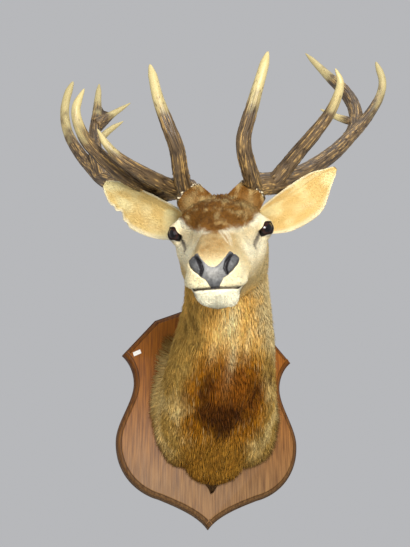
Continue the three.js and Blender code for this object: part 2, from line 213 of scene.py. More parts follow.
def rgb(red, green, blue):
    """A display colour from 0 to 255, as linear light."""
    display = np.array([red, green, blue]) / 255
    return np.where(display > 0.04045, ((display + 0.055) / 1.055) ** 2.4, display / 12.92)


CREAM = rgb(244, 232, 192)
CREAM_WHITE = rgb(250, 243, 214)
FACE_BUFF = rgb(226, 204, 152)
BRIDGE_TAN = rgb(188, 150, 92)
RUST = rgb(140, 94, 38)
RUST_DARK = rgb(84, 50, 18)
RUST_LIGHT = rgb(206, 178, 120)
POLL_BROWN = rgb(118, 86, 46)
JAW_GREY = rgb(206, 178, 118)
THROAT_TAN = rgb(248, 194, 98)
THROAT_PALE = rgb(255, 232, 170)
NECK_GREY = rgb(196, 156, 78)
NECK_DARK = rgb(98, 70, 32)
NECK_LIGHT = rgb(236, 206, 136)
NECK_BUFF = rgb(222, 200, 146)
CHEST_DARK = rgb(58, 26, 6)
CHEST_RED = rgb(138, 76, 18)
CHEST_GOLD = rgb(176, 114, 22)
CHEST_OLIVE = rgb(168, 120, 42)
HEM_DARK = rgb(66, 46, 24)
SLATE = rgb(98, 99, 100)
NOSE_HIGHLIGHT = rgb(132, 130, 124)
SLATE_DARK = rgb(34, 31, 34)
LIP_DARK = rgb(40, 28, 22)
TEAR_GREY = rgb(98, 91, 78)
EAR_GOLD = rgb(226, 194, 124)
EAR_PALE = rgb(240, 222, 164)
EAR_ORANGE = rgb(216, 162, 84)
EAR_BACK = rgb(140, 112, 70)
RIGHT_EAR_SHADE = np.array([0.86, 0.9, 0.94])  # painted shade: darkens the right ear, which gets less of the light
LID_DARK = rgb(20, 14, 11)
IRIS = rgb(44, 18, 8)
PUPIL = rgb(6, 4, 4)
ANTLER_DARK = rgb(44, 32, 21)
ANTLER_BROWN = rgb(100, 80, 54)
ANTLER_GOLD = rgb(184, 148, 88)
IVORY = rgb(194, 178, 124)
BURR_BEAD = rgb(226, 212, 176)
WOOD_DARK = rgb(102, 67, 32)
WOOD_LIGHT = rgb(154, 113, 66)


def mix(base, colour, weight):
    return base + (np.asarray(colour) - base) * np.asarray(weight)[..., None]


def layered(colour, *layers):
    """Mixes layers of (colour, weight) over a colour, one after another."""
    for paint, weight in layers:
        colour = mix(colour, paint, weight)
    return colour


# ------------------------------------------------------------------ meshes


def make_piece(name, finish, points, faces, shades=None, uvs=None, smooth=True):
    """A Blender object from points in millimetres and groups of faces, each an array of one width.

    uvs holds a pair for each corner of the faces.
    """
    faces = [np.asarray(group, np.int32) for group in faces if len(group)]
    mesh = bpy.data.meshes.new(name)
    mesh.vertices.add(len(points))
    mesh.vertices.foreach_set("co", (np.asarray(points, np.float32) * MM).ravel())
    corners = np.concatenate([group.ravel() for group in faces])
    sizes = np.concatenate([np.full(len(group), group.shape[1]) for group in faces])
    mesh.loops.add(len(corners))
    mesh.loops.foreach_set("vertex_index", corners)
    mesh.polygons.add(len(sizes))
    mesh.polygons.foreach_set("loop_start", np.concatenate([[0], np.cumsum(sizes)[:-1]]).astype(np.int32))
    mesh.polygons.foreach_set("use_smooth", np.full(len(sizes), smooth))
    if shades is not None:
        layer = mesh.color_attributes.new("shade", "FLOAT_COLOR", "POINT")
        rgba = np.ones((len(points), 4), np.float32)
        rgba[:, :3] = np.clip(shades, 0, 1)
        layer.data.foreach_set("color", rgba.ravel())
    if uvs is not None:
        layer = mesh.uv_layers.new(name="OFBake")
        layer.uv.foreach_set("vector", np.asarray(uvs, np.float32).ravel())
    mesh.update(calc_edges=True)
    mesh.validate()
    mesh.materials.append(finish)
    piece = bpy.data.objects.new(name, mesh)
    bpy.context.scene.collection.objects.link(piece)
    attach(piece, "root")
    return piece


def grid_quads(rows, columns):
    """Quads of a grid of points, row after row, whose columns close into rings."""
    row, column = np.meshgrid(np.arange(rows - 1), np.arange(columns), indexing="ij")
    following = (column + 1) % columns
    corners = [(row, column), (row, following), (row + 1, following), (row + 1, column)]
    return np.stack([r * columns + c for r, c in corners], -1).reshape(-1, 4)


def grid_uvs(rows, columns, island):
    """Four unwrap pairs for each of grid_quads, within the island (left, bottom, right, top)."""
    left, bottom, right, top = island
    row, column = np.meshgrid(np.arange(rows - 1), np.arange(columns), indexing="ij")
    u = np.stack([column, column + 1, column + 1, column], -1) / columns
    v = np.stack([row, row, row + 1, row + 1], -1) / (rows - 1)
    return np.stack([left + (right - left) * u, bottom + (top - bottom) * v], -1).reshape(-1, 4, 2)


def fan(ring, centre):
    return np.stack([np.full(len(ring), centre), np.roll(ring, -1), ring], -1)


def inside_out(quads, points):
    """Whether quads face the middle of their points, judged by the volume that they enclose."""
    a, b, c = (points[quads[:, i]] - points.mean(0) for i in range(3))
    return np.sum(a * np.cross(b, c)) <= 0


def join_grids(grids):
    """Points, quads, triangles, shades and uvs of grids of rings, joined into one mesh.

    Each is its points, its colours, its ends and its island in the unwrap, if it has one. The ends
    are open, capped, or joined to each other.
    """
    points, quads, triangles, shades, uvs = [], [], [], [], []
    count = 0
    for grid, colour, ends, island in grids:
        rows, columns = grid.shape[:2]
        flat = grid.reshape(-1, 3)
        first = np.arange(columns)
        last = first + (rows - 1) * columns
        faces = grid_quads(rows, columns)
        if ends == "joined":
            seam = np.stack([last, np.roll(last, -1), np.roll(first, -1), first], -1)
            faces = np.concatenate([faces, seam])
        order = slice(None, None, -1 if inside_out(faces, flat) else 1)
        points.append(flat)
        shades.append(colour.reshape(-1, 3))
        quads.append(faces[:, order] + count)
        if island is not None:
            uvs.append(grid_uvs(rows, columns, island)[:, order].reshape(-1, 2))
        if ends == "capped":
            caps = np.concatenate([fan(first, len(flat)), fan(last, len(flat) + 1)[:, ::-1]])
            triangles.append(caps[:, order] + count)
            points.append([grid[0].mean(0), grid[-1].mean(0)])
            shades.append([colour[0, 0], colour[-1, 0]])
            count += 2
        count += len(flat)
    return [np.concatenate(part) if part else None for part in (points, quads, triangles, shades, uvs)]


# ------------------------------------------------------------------ finishes


class Finish:
    """A Principled material with short ways to add nodes. A value is a constant or a node's output."""

    def __init__(self, name, **settings):
        self.material = bpy.data.materials.new(name)
        self.material.use_nodes = True
        self.tree = self.material.node_tree
        self.shader(**settings)

    def put(self, socket, value):
        if isinstance(value, bpy.types.NodeSocket):
            self.tree.links.new(value, socket)
        else:
            socket.default_value = value

    def shader(self, **settings):
        for name, value in settings.items():
            self.put(self.tree.nodes["Principled BSDF"].inputs[name.replace("_", " ")], value)

    def add(self, kind, output, inputs, **options):
        node = self.tree.nodes.new("ShaderNode" + kind)
        for option, value in options.items():
            setattr(node, option, value)
        for socket, value in inputs.items():
            self.put(node.inputs[socket], value)
        return node.outputs[output]

    def place(self):
        return self.add("TexCoord", "Object", {})

    def shade(self):
        return self.add("Attribute", "Color", {}, attribute_name="shade")

    def noise(self, scale, detail, stretch=None):
        place = self.place()
        if stretch is not None:
            place = self.add("Mapping", "Vector", {"Vector": place, "Scale": stretch})
        return self.add("TexNoise", "Fac", {"Vector": place, "Scale": scale, "Detail": detail})

    def spread(self, value, low, high, start=0.0, end=1.0):
        """Maps a value from start..end to low..high."""
        ends = {"From Min": start, "From Max": end, "To Min": low, "To Max": high}
        return self.add("MapRange", "Result", {"Value": value, **ends})

    def grey(self, level):
        return self.add("CombineColor", "Color", dict.fromkeys(("Red", "Green", "Blue"), level))

    def multiply(self, base, other, factor=1.0):
        """Multiplies two colours: the sockets are the Mix node's factor and its colours A and B."""
        return self.add("Mix", 2, {0: factor, 6: base, 7: other}, data_type="RGBA", blend_type="MULTIPLY")

    def bump(self, height, strength, distance):
        inputs = {"Height": height, "Strength": strength, "Distance": distance}
        self.shader(Normal=self.add("Bump", "Normal", inputs))


ROUGHNESS_SPREAD = 0.08


def shaded_finish(name, roughness, variation, scale, bump, **settings):
    """The mesh's own shade, varied by a fine noise that gives the roughness and the bump too."""
    finish = Finish(name, Roughness=roughness, **settings)
    texture = finish.noise(scale, 4.0)
    tint = finish.grey(finish.spread(texture, 1 - variation, 1 + variation))
    rough = finish.spread(texture, roughness - ROUGHNESS_SPREAD, roughness + ROUGHNESS_SPREAD)
    finish.shader(Base_Color=finish.multiply(finish.shade(), tint), Roughness=rough)
    finish.bump(texture, *bump)
    return finish.material


def nose_finish():
    """Bare, slightly moist skin with fine pebbles."""
    finish = Finish("nose", Roughness=0.38)
    inputs = {"Vector": finish.place(), "Scale": 620}
    pebbles = finish.add("TexVoronoi", "Distance", inputs, feature="DISTANCE_TO_EDGE")
    finish.shader(Base_Color=finish.shade(), Roughness=finish.spread(pebbles, 0.42, 0.24))
    finish.bump(pebbles, 0.6, 0.0012)
    return finish.material


def glass_finish():
    finish = Finish("glass_eye", Roughness=0.03, IOR=1.45)
    finish.shader(Base_Color=finish.shade())
    return finish.material


finishes = {
    "hide": shaded_finish("hide", 0.8, 0.18, 700, (0.5, 0.0012), Specular_IOR_Level=0.2),
    "hair": shaded_finish("hair", 0.6, 0.16, 420, (0.25, 0.0006), Specular_IOR_Level=0.08),
    "antler": shaded_finish("antler", 0.42, 0.2, 260, (0.35, 0.0008)),
    "nose": nose_finish(),
    "eye": glass_finish(),
}

# ------------------------------------------------------------------ the body's shape


def smooth_through(points, closed, shares):
    """A smooth curve through points (first axis), read at shares from 0 to 1 of its stretches."""
    points = np.asarray(points, float)
    count = len(points)
    stretches = count if closed else count - 1
    place = np.asarray(shares, float) * stretches
    first = np.clip(np.floor(place).astype(int), 0, stretches - 1)
    w = (place - first).reshape((-1,) + (1,) * (points.ndim - 1))
    if closed:
        before, start, end, after = (points[(first + k) % count] for k in (-1, 0, 1, 2))
    else:
        padded = np.concatenate([[2 * points[0] - points[1]], points, [2 * points[-1] - points[-2]]])
        before, start, end, after = (padded[first + k] for k in range(4))
    leaving = (end - before) / 2
    arriving = (after - start) / 2
    return (
        start * (2 * w**3 - 3 * w**2 + 1)
        + leaving * (w**3 - 2 * w**2 + w)
        + end * (3 * w**2 - 2 * w**3)
        + arriving * (w**3 - w**2)
    )


def section_guides(top, bottom, sideways, wide):
    """Ten points round a section: the top, down one side, the bottom, and up the other side."""
    across = [
        [bottom + (top - bottom) * height + sign * sideways * width
         for width, height in zip(wide, WIDTH_HEIGHTS)]
        for sign in (1, -1)
    ]
    return [top, *across[0], bottom, *across[1][::-1]]


def body_guides():
    guides = []
    for top, bottom, wide in HEAD_SECTIONS:
        ends = from_head([(0, *top), (0, *bottom)])
        guides.append(section_guides(*ends, HEAD_AXES[0], wide))
    for top, bottom, x, turn, wide in NECK_SECTIONS:
        sideways = np.array([math.cos(math.radians(turn)), -math.sin(math.radians(turn)), 0])
        guides.append(section_guides(np.array([x, *top]), np.array([x, *bottom]), sideways, wide))
    return np.array(guides)


def steps_across(points):
    return np.roll(points, -1, 1) - np.roll(points, 1, 1)


def normals_of(points):
    """Unit normals of a grid of rings, rows first."""
    return unit(np.cross(steps_across(points), np.gradient(points, axis=0)))


class Surface:
    """A surface of rings: points and normals by row and column, read anywhere between."""

    def __init__(self, points, island):
        self.points = points
        self.island = island
        self.rows, self.columns = points.shape[:2]
        self.normals = normals_of(points)
        self.across = steps_across(points) / 2
        self.along = np.gradient(points, axis=0)

    def read(self, table, row, column):
        row = np.clip(row, 0, self.rows - 1.001)
        r0 = np.floor(row).astype(int)
        c0 = np.floor(column).astype(int)
        wr = (row - r0)[:, None]
        wc = (column - c0)[:, None]
        c0 = c0 % self.columns
        c1 = (c0 + 1) % self.columns
        low = table[r0, c0] * (1 - wc) + table[r0, c1] * wc
        high = table[r0 + 1, c0] * (1 - wc) + table[r0 + 1, c1] * wc
        return low * (1 - wr) + high * wr

    def step(self, row, column, flow, distance):
        """Moves over the surface along flow by a distance in millimetres."""
        across = self.read(self.across, row, column)
        along = self.read(self.along, row, column)
        aa, bb, ab, fa, fb = (
            np.sum(p * q, 1)
            for p, q in ((across, across), (along, along), (across, along), (flow, across), (flow, along))
        )
        det = np.maximum(aa * bb - ab * ab, 1e-6)
        return row + distance * (fb * aa - fa * ab) / det, column + distance * (fa * bb - fb * ab) / det

    def unwrap(self, row, column):
        left, bottom, right, top = self.island
        u = left + (right - left) * (column % self.columns) / self.columns
        v = bottom + (top - bottom) * row / (self.rows - 1)
        return np.stack([u, v], -1)


def body_rows():
    """Section numbers at which the body's rings lie, from the nose to the shield."""
    places = [0.0]
    for section, rows in enumerate(ROWS_PER_SECTION):
        reach = LAST_SHARE if section == len(ROWS_PER_SECTION) - 1 else 1.0
        places.extend(section + reach * (k + 1) / rows for k in range(rows))
    return np.array(places)


def body_points():
    """The outside of the coat, as a grid of rings, with each ring's section number."""
    guides = body_guides()
    shares = np.arange(RING_POINTS) / RING_POINTS
    rings = smooth_through(guides.transpose(1, 0, 2), True, shares).transpose(1, 0, 2)
    sections = body_rows()
    points = smooth_through(rings, False, sections / (len(rings) - 1))
    outward = unit(points - points.mean(1, keepdims=True))
    rise = np.zeros(points.shape[:2])
    for side, (place, reach, height) in itertools.product(SIDES.values(), HEAD_FORMS):
        rise += height * bell(distance_to(points, from_head(mirrored(place, side))), reach)
    points = points + outward * rise[..., None]
    points[..., 1] = np.minimum(points[..., 1], BOARD_FRONT)

    # The nose is closed by rings that shrink to a point in front of the first section.
    first = points[0]
    middle = first.mean(0)
    reaches = np.linspace(SMALLEST_RING, 1, CAP_ROWS, endpoint=False)
    cap = [middle + (first - middle) * reach + HEAD_AXES[1] * CAP_BULGE * (1 - reach**2) for reach in reaches]
    cap_sections = -np.linspace(1, 0, CAP_ROWS, endpoint=False)
    return np.concatenate([cap, points]), np.concatenate([cap_sections, sections])


# ------------------------------------------------------------------ the face

MOUTH_HEIGHT = -83.5
MOUTH_CORNER = 150.0  # how far forward the corners of the mouth lie
NOSE_BACK = 203.0
NOSE_SIDE = 39.0
# The bare nose by distance from the middle: its upper and its lower edge.
NOSE_CEILING = [(0, -50.5), (7, -48.5), (12, -44), (18, -37), (24, -29.5), (30, -26.5), (35, -28), (40, -36)]
NOSE_FLOOR = [(0, -84), (6, -84), (9, -77), (14, -69), (22, -64), (30, -57), (36, -50), (39, -44)]
# The nostril by distance from the middle, height and half width: a dark slit curled round a fold.
NOSTRIL_SLIT = [
    (20, -62, 1.6), (17.5, -54, 2.6), (20, -45, 2.8), (25, -37, 2.2), (31, -34, 1.4), (36, -39, 0.8),
]
NOSTRIL_RIM = [(37.5, -44, 1.2), (33, -53, 1.6), (26, -60, 1.4), (21, -63, 1.4)]
NOSTRIL_FOLD = (28, -47)
SLIT_FADE = (219, 230)  # how far forward the slit fades in
TEAR_SLIT = ((68, 26, -9), (61, 58, -29))
CREASES = [((10, 147, 1), (23, 186, -18)), ((-29, 130, -9), (-47, 104, -29)), ((16, 140, 2), (34, 178, -20))]
# The square chin: place, rise and reach.
CHIN_FORMS = [
    ((28, 216, -114), 12, 12),
    ((27, 226, -106), 5, 10),
    ((-22, 222, -112), 5, 10),
    ((-2, 208, -121), -5, 13),
    ((0, 226, -117), -4, 9),
]
UPPER_LIP = (38, 214, -72)
# Soft relief on both sides of the face: from, to, rise and reach.
FACE_FORMS = [
    ((48, 222, -95), (48, 170, -100), -9.0, 14),  # beside the lower lip
    ((44, 196, -66), (44, 160, -74), -2.0, 8),  # behind the upper lip
    ((52, 70, -62), (44, 150, -66), 2.5, 12),  # cheek muscle
]

EYE = {"at": (75.5, 8, -1), "radius": 17.5, "gaze": (0.66, 0.74, 0.06), "front": (-0.70, 0.50, -0.50)}
APERTURE = {"front": 16.4, "back": 14.2, "upper": 10.8, "lower": 9.4, "pinch": 0.16}
LID_REACH = 16.0  # how far the lids run out over the face


def mouth_line(forward):
    """Height of the closed mouth, rising a little toward its corners."""
    return MOUTH_HEIGHT - 3 * bell(forward - 222, 14) + 3 * smoothstep(205, 160, forward)


def trace_distance(side, up, trace):
    """Distance outside a line of varying half width, seen from the front; negative within it."""
    best = np.full(side.shape, 1e3)
    for (s0, u0, r0), (s1, u1, r1) in itertools.pairwise(trace):
        for share in np.linspace(0, 1, 7):
            away = np.hypot(side - s0 - (s1 - s0) * share, up - u0 - (u1 - u0) * share)
            best = np.minimum(best, away - r0 - (r1 - r0) * share)
    return best


def nose_mask(head):
    """1 on the bare skin of the nose, 0 on hair, with a soft edge."""
    side, forward, up = split(fold(head))
    edge = np.minimum(table_at(side, NOSE_CEILING) - up, up - table_at(side, NOSE_FLOOR))
    edge = np.minimum(edge, NOSE_SIDE - side) + 0.9 * noise(head, 4, 5)
    back = NOSE_BACK + 17 * smoothstep(-42, -31, up)
    return smoothstep(-1.0, 1.2, edge) * smoothstep(back, back + 6, forward)


def face_relief(head):
    """How far the skin stands out (or lies in) beyond the smooth form, by place on the head."""
    folded = fold(head)
    side, forward, up = split(folded)
    relief = np.zeros(side.shape)

    mouth = smoothstep(MOUTH_CORNER - 8, MOUTH_CORNER + 10, forward)
    above = up - mouth_line(forward)
    relief -= mouth * 5.5 * bell(above, 1.7)
    relief += mouth * 2.2 * bell(above - 8, 5) * smoothstep(8, 20, side)
    relief += mouth * 2.0 * bell(above + 9, 6) * smoothstep(40, 26, side)

    front = smoothstep(NOSE_BACK - 6, NOSE_BACK + 6, forward)
    slit = trace_distance(side, up, NOSTRIL_SLIT)
    relief -= smoothstep(*SLIT_FADE, forward) * 6.5 * smoothstep(0.9, -1.6, slit)
    relief -= front * 1.6 * smoothstep(1.0, -1.2, trace_distance(side, up, NOSTRIL_RIM))
    relief += front * 2.2 * bell(np.hypot(side - NOSTRIL_FOLD[0], up - NOSTRIL_FOLD[1]), 8)
    relief += front * 1.0 * bell(slit - 3.4, 3.2) * smoothstep(NOSTRIL_FOLD[0], 18, side)
    relief += front * 0.8 * bell(np.hypot(side / 1.5, up + 62), 12)

    for place, rise, reach in CHIN_FORMS:
        relief += rise * bell(distance_to(head, place), reach)
    relief += 3.0 * bell(distance_to(folded, UPPER_LIP), 13)
    for start, end, rise, reach in FACE_FORMS:
        relief += rise * bell(to_segment(folded, start, end), reach)

    tear = to_segment(folded, *TEAR_SLIT)
    relief -= 3.0 * bell(tear, 2.6)
    relief += 1.0 * bell(tear - 5, 2.6)
    for start, end in CREASES:
        relief -= 1.3 * bell(to_segment(head, start, end), 1.8)
    return relief


def lash_frame(side):
    """The eye's own frame: centre, long axis (toward the nose), short axis (up) and gaze."""
    centre = from_head(mirrored(EYE["at"], side))
    gaze, front = (head_direction(mirrored(EYE[way], side)) for way in ("gaze", "front"))
    above = head_direction((0, 0, 1))
    front = unit(front - gaze * (front @ gaze))
    above = unit(above - gaze * (above @ gaze))
    above = unit(above - front * (above @ front))
    return centre, front, above, gaze


def aperture(angle):
    """Radius of the opening between the lids, by angle from the front corner of the eye."""
    along, across = np.cos(angle), np.sin(angle)
    long_radius = np.where(along > 0, APERTURE["front"], APERTURE["back"])
    short_radius = np.where(across > 0, APERTURE["upper"], APERTURE["lower"])
    round_radius = 1 / np.sqrt((along / long_radius) ** 2 + (across / short_radius) ** 2)
    return round_radius * (1 - APERTURE["pinch"] * np.sin(2 * angle) ** 2)


def around_eye(points, side):
    """For each point, its distance off the eye's gaze, its height along it, and the lids' edge there."""
    centre, front, above, gaze = lash_frame(side)
    offset = points - centre
    along, across = offset @ front, offset @ above
    return np.hypot(along, across), offset @ gaze, aperture(np.arctan2(across, along))


def sink_behind_eyes(points):
    """Lowers the skin behind the eyeballs and under the lids, so that neither is pierced."""
    for side in SIDES.values():
        gaze = lash_frame(side)[3]
        out, height, edge = around_eye(points, side)
        near = smoothstep(edge + LID_REACH - 2, edge + LID_REACH - 8, out) * smoothstep(-6, 0, height)
        ball = np.sqrt(np.maximum(EYE["radius"] ** 2 - out**2, 0))
        lowered = np.minimum(height - 5, np.maximum(ball - 4, -2))
        lowered = np.where(out < edge + 2, lowered, height - 5)
        points = points + gaze * (near * (lowered - height))[..., None]
    return points


# ------------------------------------------------------------------ markings

# How far forward and how low the rust-brown forehead reaches, by distance from the middle.
FOREHEAD_EDGE = [
    (0, 149), (13, 137), (24, 108), (38, 82), (50, 58), (58, 42), (64, 26), (72, 8), (80, -20), (96, -90),
]
FOREHEAD_LOW = [(0, -12), (20, -5), (38, 3), (50, 9), (58, 14), (64, 22), (72, 29), (96, 32)]
BROW_BAND = [(11, 146, 1), (38, 80, 6), (66, 24, 18), (82, -6, 24)]
UNDER_EYE = ((70, 16, -30), (54, 96, -34))
# Pale places on the rust brown: place, reach and weight.
PALE_MOUNDS = [((-54, -22, 50), 17, 0.7), ((46, 11, 43), 19, 0.85), ((60, -14, 44), 16, 0.6)]
RIGHT_LIP_CORNER = (-38, 218, -92)
LEFT_LIP_CORNER = ((39, 222, -87), (37, 203, -101))


def rust_patch(head, fine, inward):
    """The forehead's mottled brown; inward is how far a point lies within the front edge."""
    laid = head * np.array([1, 0.5, 0.8])
    dapple = noise(laid, 7, 1)
    pale = smoothstep(-0.1, 0.9, noise(laid, 11, 4) + 0.5 * noise(laid, 4, 6))
    pale = pale * smoothstep(135, 95, head[..., 1])
    patch = layered(
        RUST,
        (RUST_DARK, 0.6 * smoothstep(-0.1, 0.9, dapple + 0.4 * fine)),
        (RUST_LIGHT, 0.7 * pale),
        (RUST, 0.7 * smoothstep(14, 3, inward)),
    )
    for place, reach, weight in PALE_MOUNDS:
        mound = bell(distance_to(head, place), reach) * (1 + 0.6 * dapple)
        patch = mix(patch, RUST_LIGHT, weight * np.clip(mound, 0, 1))
    return patch, dapple


def mouth_layers(head, side, forward, up):
    """Layers of colour for the pale lips and chin, the dark line between them, the whiskers' roots and
    painted shade under the jaw behind the chin.
    """
    above = up - mouth_line(forward)
    under = smoothstep(0, -4, above)
    lips = smoothstep(MOUTH_CORNER + 10, MOUTH_CORNER + 50, forward) * smoothstep(-62, -74, up)
    lips = lips * (1 - under * (1 - smoothstep(190, 208, forward)))
    line = smoothstep(MOUTH_CORNER - 6, MOUTH_CORNER + 8, forward) * smoothstep(2.9, 1.2, np.abs(above))
    corner = bell(distance_to(head, RIGHT_LIP_CORNER), 7)
    corner = corner + 0.9 * bell(to_segment(head, *LEFT_LIP_CORNER), 3.2)
    dots = smoothstep(0.45, 0.62, noise(head, 2.6, 8)) * lips * smoothstep(10, 22, side)
    behind = smoothstep(212, 196, forward) * smoothstep(120, 170, forward)
    return [
        (JAW_GREY, 0.8 * under * smoothstep(215, 195, forward)),
        # Painted shade on the underside of the jaw behind the chin.
        (NECK_DARK, 0.55 * under * behind),
        (CREAM, 0.9 * lips),
        (CREAM_WHITE, 0.9 * lips * under),
        (LIP_DARK, 0.97 * line),
        (LIP_DARK, 0.7 * corner),
        (LIP_DARK, 0.45 * dots),
    ]


def nose_colour(head, fine):
    side, forward, up = split(fold(head))
    slate = layered(
        SLATE,
        # Painted highlight in the middle of the pad.
        (NOSE_HIGHLIGHT, 0.9 * bell(np.hypot(side / 1.4, up + 60), 11)),
        (SLATE_DARK, 0.5 * smoothstep(15, 21, side)),
        # Painted highlight on each nostril's fold.
        (NOSE_HIGHLIGHT, 0.2 * bell(np.hypot(side - 29, up + 49), 5)),
    )
    # Mottling: partly the skin's own dark and pale spots, partly painted glints of its wet sheen.
    slate = slate * (1 + 0.4 * noise(head, 5, 9) + 0.2 * fine + 0.3 * noise(head, 1.8, 13))[..., None]
    slit = smoothstep(1.6, -0.4, trace_distance(side, up, NOSTRIL_SLIT)) * smoothstep(*SLIT_FADE, forward)
    return layered(
        slate,
        (SLATE_DARK, 0.6 * smoothstep(-68, -82, up)),
        (SLATE_DARK, 0.95 * slit),
        (SLATE_DARK, 0.6 * smoothstep(1.5, -0.5, trace_distance(side, up, NOSTRIL_RIM))),
    )


def head_colour(head):
    """The head's colours by place, with the share that is bare nose."""
    folded = fold(head)
    side, forward, up = split(folded)
    mottle, fine = noise(head, 9, 1), noise(head, 3.5, 2)
    streak = noise(head, 5, 12, (1, 0.35, 0.6))

    bridge = smoothstep(46, 14, side) * smoothstep(-50, -24, up) * smoothstep(105, 140, forward)
    brow = np.min([to_segment(folded, *ends) for ends in itertools.pairwise(BROW_BAND)], axis=0)
    band = np.clip(1.25 * bell(brow, 7.5 + 3.5 * smoothstep(30, 70, side)), 0, 1)
    jaw = smoothstep(60, -20, forward) * smoothstep(-10, -80, up)
    inward = table_at(side, FOREHEAD_EDGE) + 6 * noise(head, 12, 3) + 8 * fine - forward
    lowest = table_at(side, FOREHEAD_LOW) + 1.5 * noise(head, 10, 7) + 3 * fine
    patch, dapple = rust_patch(head, fine, inward)
    tear = to_segment(folded, *TEAR_SLIT)
    colour = layered(
        FACE_BUFF,
        (BRIDGE_TAN, 0.95 * bridge * (0.75 + 0.3 * mottle + 0.3 * streak)),
        (CREAM, smoothstep(-25, -60, up) * smoothstep(120, 190, forward) * 0.85),
        (CREAM_WHITE, 0.8 * bell(to_segment(folded, *UNDER_EYE), 26)),
        (CREAM_WHITE, band * smoothstep(4, 30, side + 8)),
        (JAW_GREY, jaw * (0.75 + 0.25 * streak)),
        (patch, smoothstep(-24, 12, inward) * smoothstep(-7, 5, up - lowest)),
        (POLL_BROWN, smoothstep(-90, -130, forward) * smoothstep(10, 40, up)),
        *mouth_layers(head, side, forward, up),
        (NECK_DARK, 0.45 * bell(tear, 8)),
        (TEAR_GREY, np.clip(1.7 * bell(tear, 3.8), 0, 1)),
    )
    # The creases: painted shade of rust brown in each groove, with a pale cream line beside it.
    for start, end in CREASES:
        crease = to_segment(head, start, end)
        colour = layered(colour, (RUST, 0.4 * bell(crease, 1.8)), (CREAM_WHITE, 0.5 * bell(crease - 4, 2.2)))
    colour = mix(colour, NECK_DARK, 0.25 * bell(distance_to(folded, EYE["at"]), 20))
    colour = colour * (1 + 0.05 * dapple + 0.05 * fine + 0.05 * streak)[..., None]
    bare = nose_mask(head)
    return mix(colour, nose_colour(head, fine), bare), bare


# x, z, half width, half height and weight: pale streaks on the throat, and the dark patch on the chest.
PALE_STREAKS = [(-28, 104, 17, 28, 1.0), (-13, 48, 9, 36, 0.75), (14, 82, 8, 28, 0.5), (-50, 66, 7, 22, 0.3)]
CHEST_PATCH = [
    (-50, 10, 20, 36, 0.75),
    (48, 10, 25, 34, 0.7),
    (-4, -36, 62, 23, 1.0),
    (-6, -62, 24, 26, 0.7),
    (2, -96, 12, 30, 0.35),
    (84, 46, 20, 26, 0.5),
]


def off_centre(x, z, spot):
    """Distance from the middle of a spot on the chest, as a share of its half width and height."""
    return np.hypot((x - spot[0]) / spot[2], (z - spot[1]) / spot[3])


def near_board(y, start, full):
    """From 0 at one distance off the shield's front to 1 at a smaller one."""
    return smoothstep(BOARD_FRONT - start, BOARD_FRONT - full, y)


def neck_colour(points, front_share):
    """front_share is 0 along the middle of the throat and 1 along the crest of the neck."""
    x, y, z = split(points)
    patchy = noise(points, 30, 21)
    streak = noise(points, 7, 22, (1, 1, 0.2))
    wisp = noise(points, 3.5, 24, (1, 1, 0.15))

    pale = smoothstep(-0.5, 0.7, patchy + 0.5 * wisp) * smoothstep(60, 0, z) * smoothstep(-118, -74, z)
    ruff = near_board(y, 90, 30) * smoothstep(-55, -90, x) * smoothstep(-30, 20, z)
    sides = layered(
        NECK_GREY,
        (NECK_DARK, smoothstep(-0.3, 0.8, streak) * 0.6),
        (NECK_LIGHT, 0.9 * np.maximum(pale, 0.7 * ruff)),
        (NECK_BUFF, 0.8 * smoothstep(-15, 20, x) * smoothstep(60, 100, z)),
        (POLL_BROWN, smoothstep(0.6, 0.9, front_share) * 0.8),
    )

    gold = mix(THROAT_TAN, CHEST_GOLD, smoothstep(85, 40, z + 8 * wisp))
    for spot in PALE_STREAKS:
        gold = mix(gold, THROAT_PALE, spot[4] * bell(off_centre(x, z, spot) + 0.2 * wisp, 1))
    gold = layered(
        gold,
        (NECK_DARK, 0.4 * smoothstep(0.1, 0.9, streak) * smoothstep(95, 50, z)),
        (THROAT_PALE, 0.35 * smoothstep(0.2, 0.9, wisp)),
        (CHEST_OLIVE, smoothstep(-50, -100, z) * 0.9),
    )
    middle = x + 22 * smoothstep(0, 110, z) + 26 * smoothstep(90, 170, z) - 2
    middle = middle / (62 + 42 * smoothstep(90, 0, z) - 18 * smoothstep(-40, -75, z))
    upper = smoothstep(40, 100, z)
    edge = np.abs(middle) + (0.12 + 0.2 * upper) * patchy + (0.08 + 0.14 * upper) * streak

    ragged = 0.14 * noise(points, 12, 23) + 0.16 * streak + 0.1 * wisp
    warm = bell(off_centre(x, z, (2, -4, 78, 60)), 1) + ragged
    dark = ragged
    for spot in CHEST_PATCH:
        dark = dark + spot[4] * bell(off_centre(x, z, spot), 1)
    in_front = smoothstep(0.5, 0.3, front_share)
    colour = layered(
        gold,
        (sides, smoothstep(0.62 - 0.2 * upper, 1.0 + 0.2 * upper, edge)),
        (sides, smoothstep(0.42, 0.5, front_share)),
        (CHEST_RED, 0.75 * smoothstep(0.2, 0.8, warm) * in_front),
        (CHEST_DARK, 0.95 * smoothstep(0.2, 1.0, dark) * in_front * (0.85 + 0.15 * wisp)),
        # Darker close to the board at the foot: partly the skin's dark nailed edge, partly painted shade
        # where the coat meets the board.
        (HEM_DARK, 0.8 * near_board(y, 24, 4) * smoothstep(20, -100, z)),
    )
    return colour * (1 + 0.1 * streak + 0.06 * wisp)[..., None]


def coat_colour(points, section, column_share):
    """The colour of skin and hair alike, with the share that is bare nose."""
    place = to_head(points)
    head, bare = head_colour(place)
    neck = neck_colour(points, np.abs(column_share * 2 - 1))
    share = smoothstep(9.4, 12.4, section + 0.6 * noise(points, 14, 31, (1, 1, 0.3)))
    throat = smoothstep(6.0, 9.0, section) * smoothstep(-92, -124, place[..., 2])
    share = np.clip(share + throat, 0, 1)
    return mix(head, neck, share), bare * (1 - share)


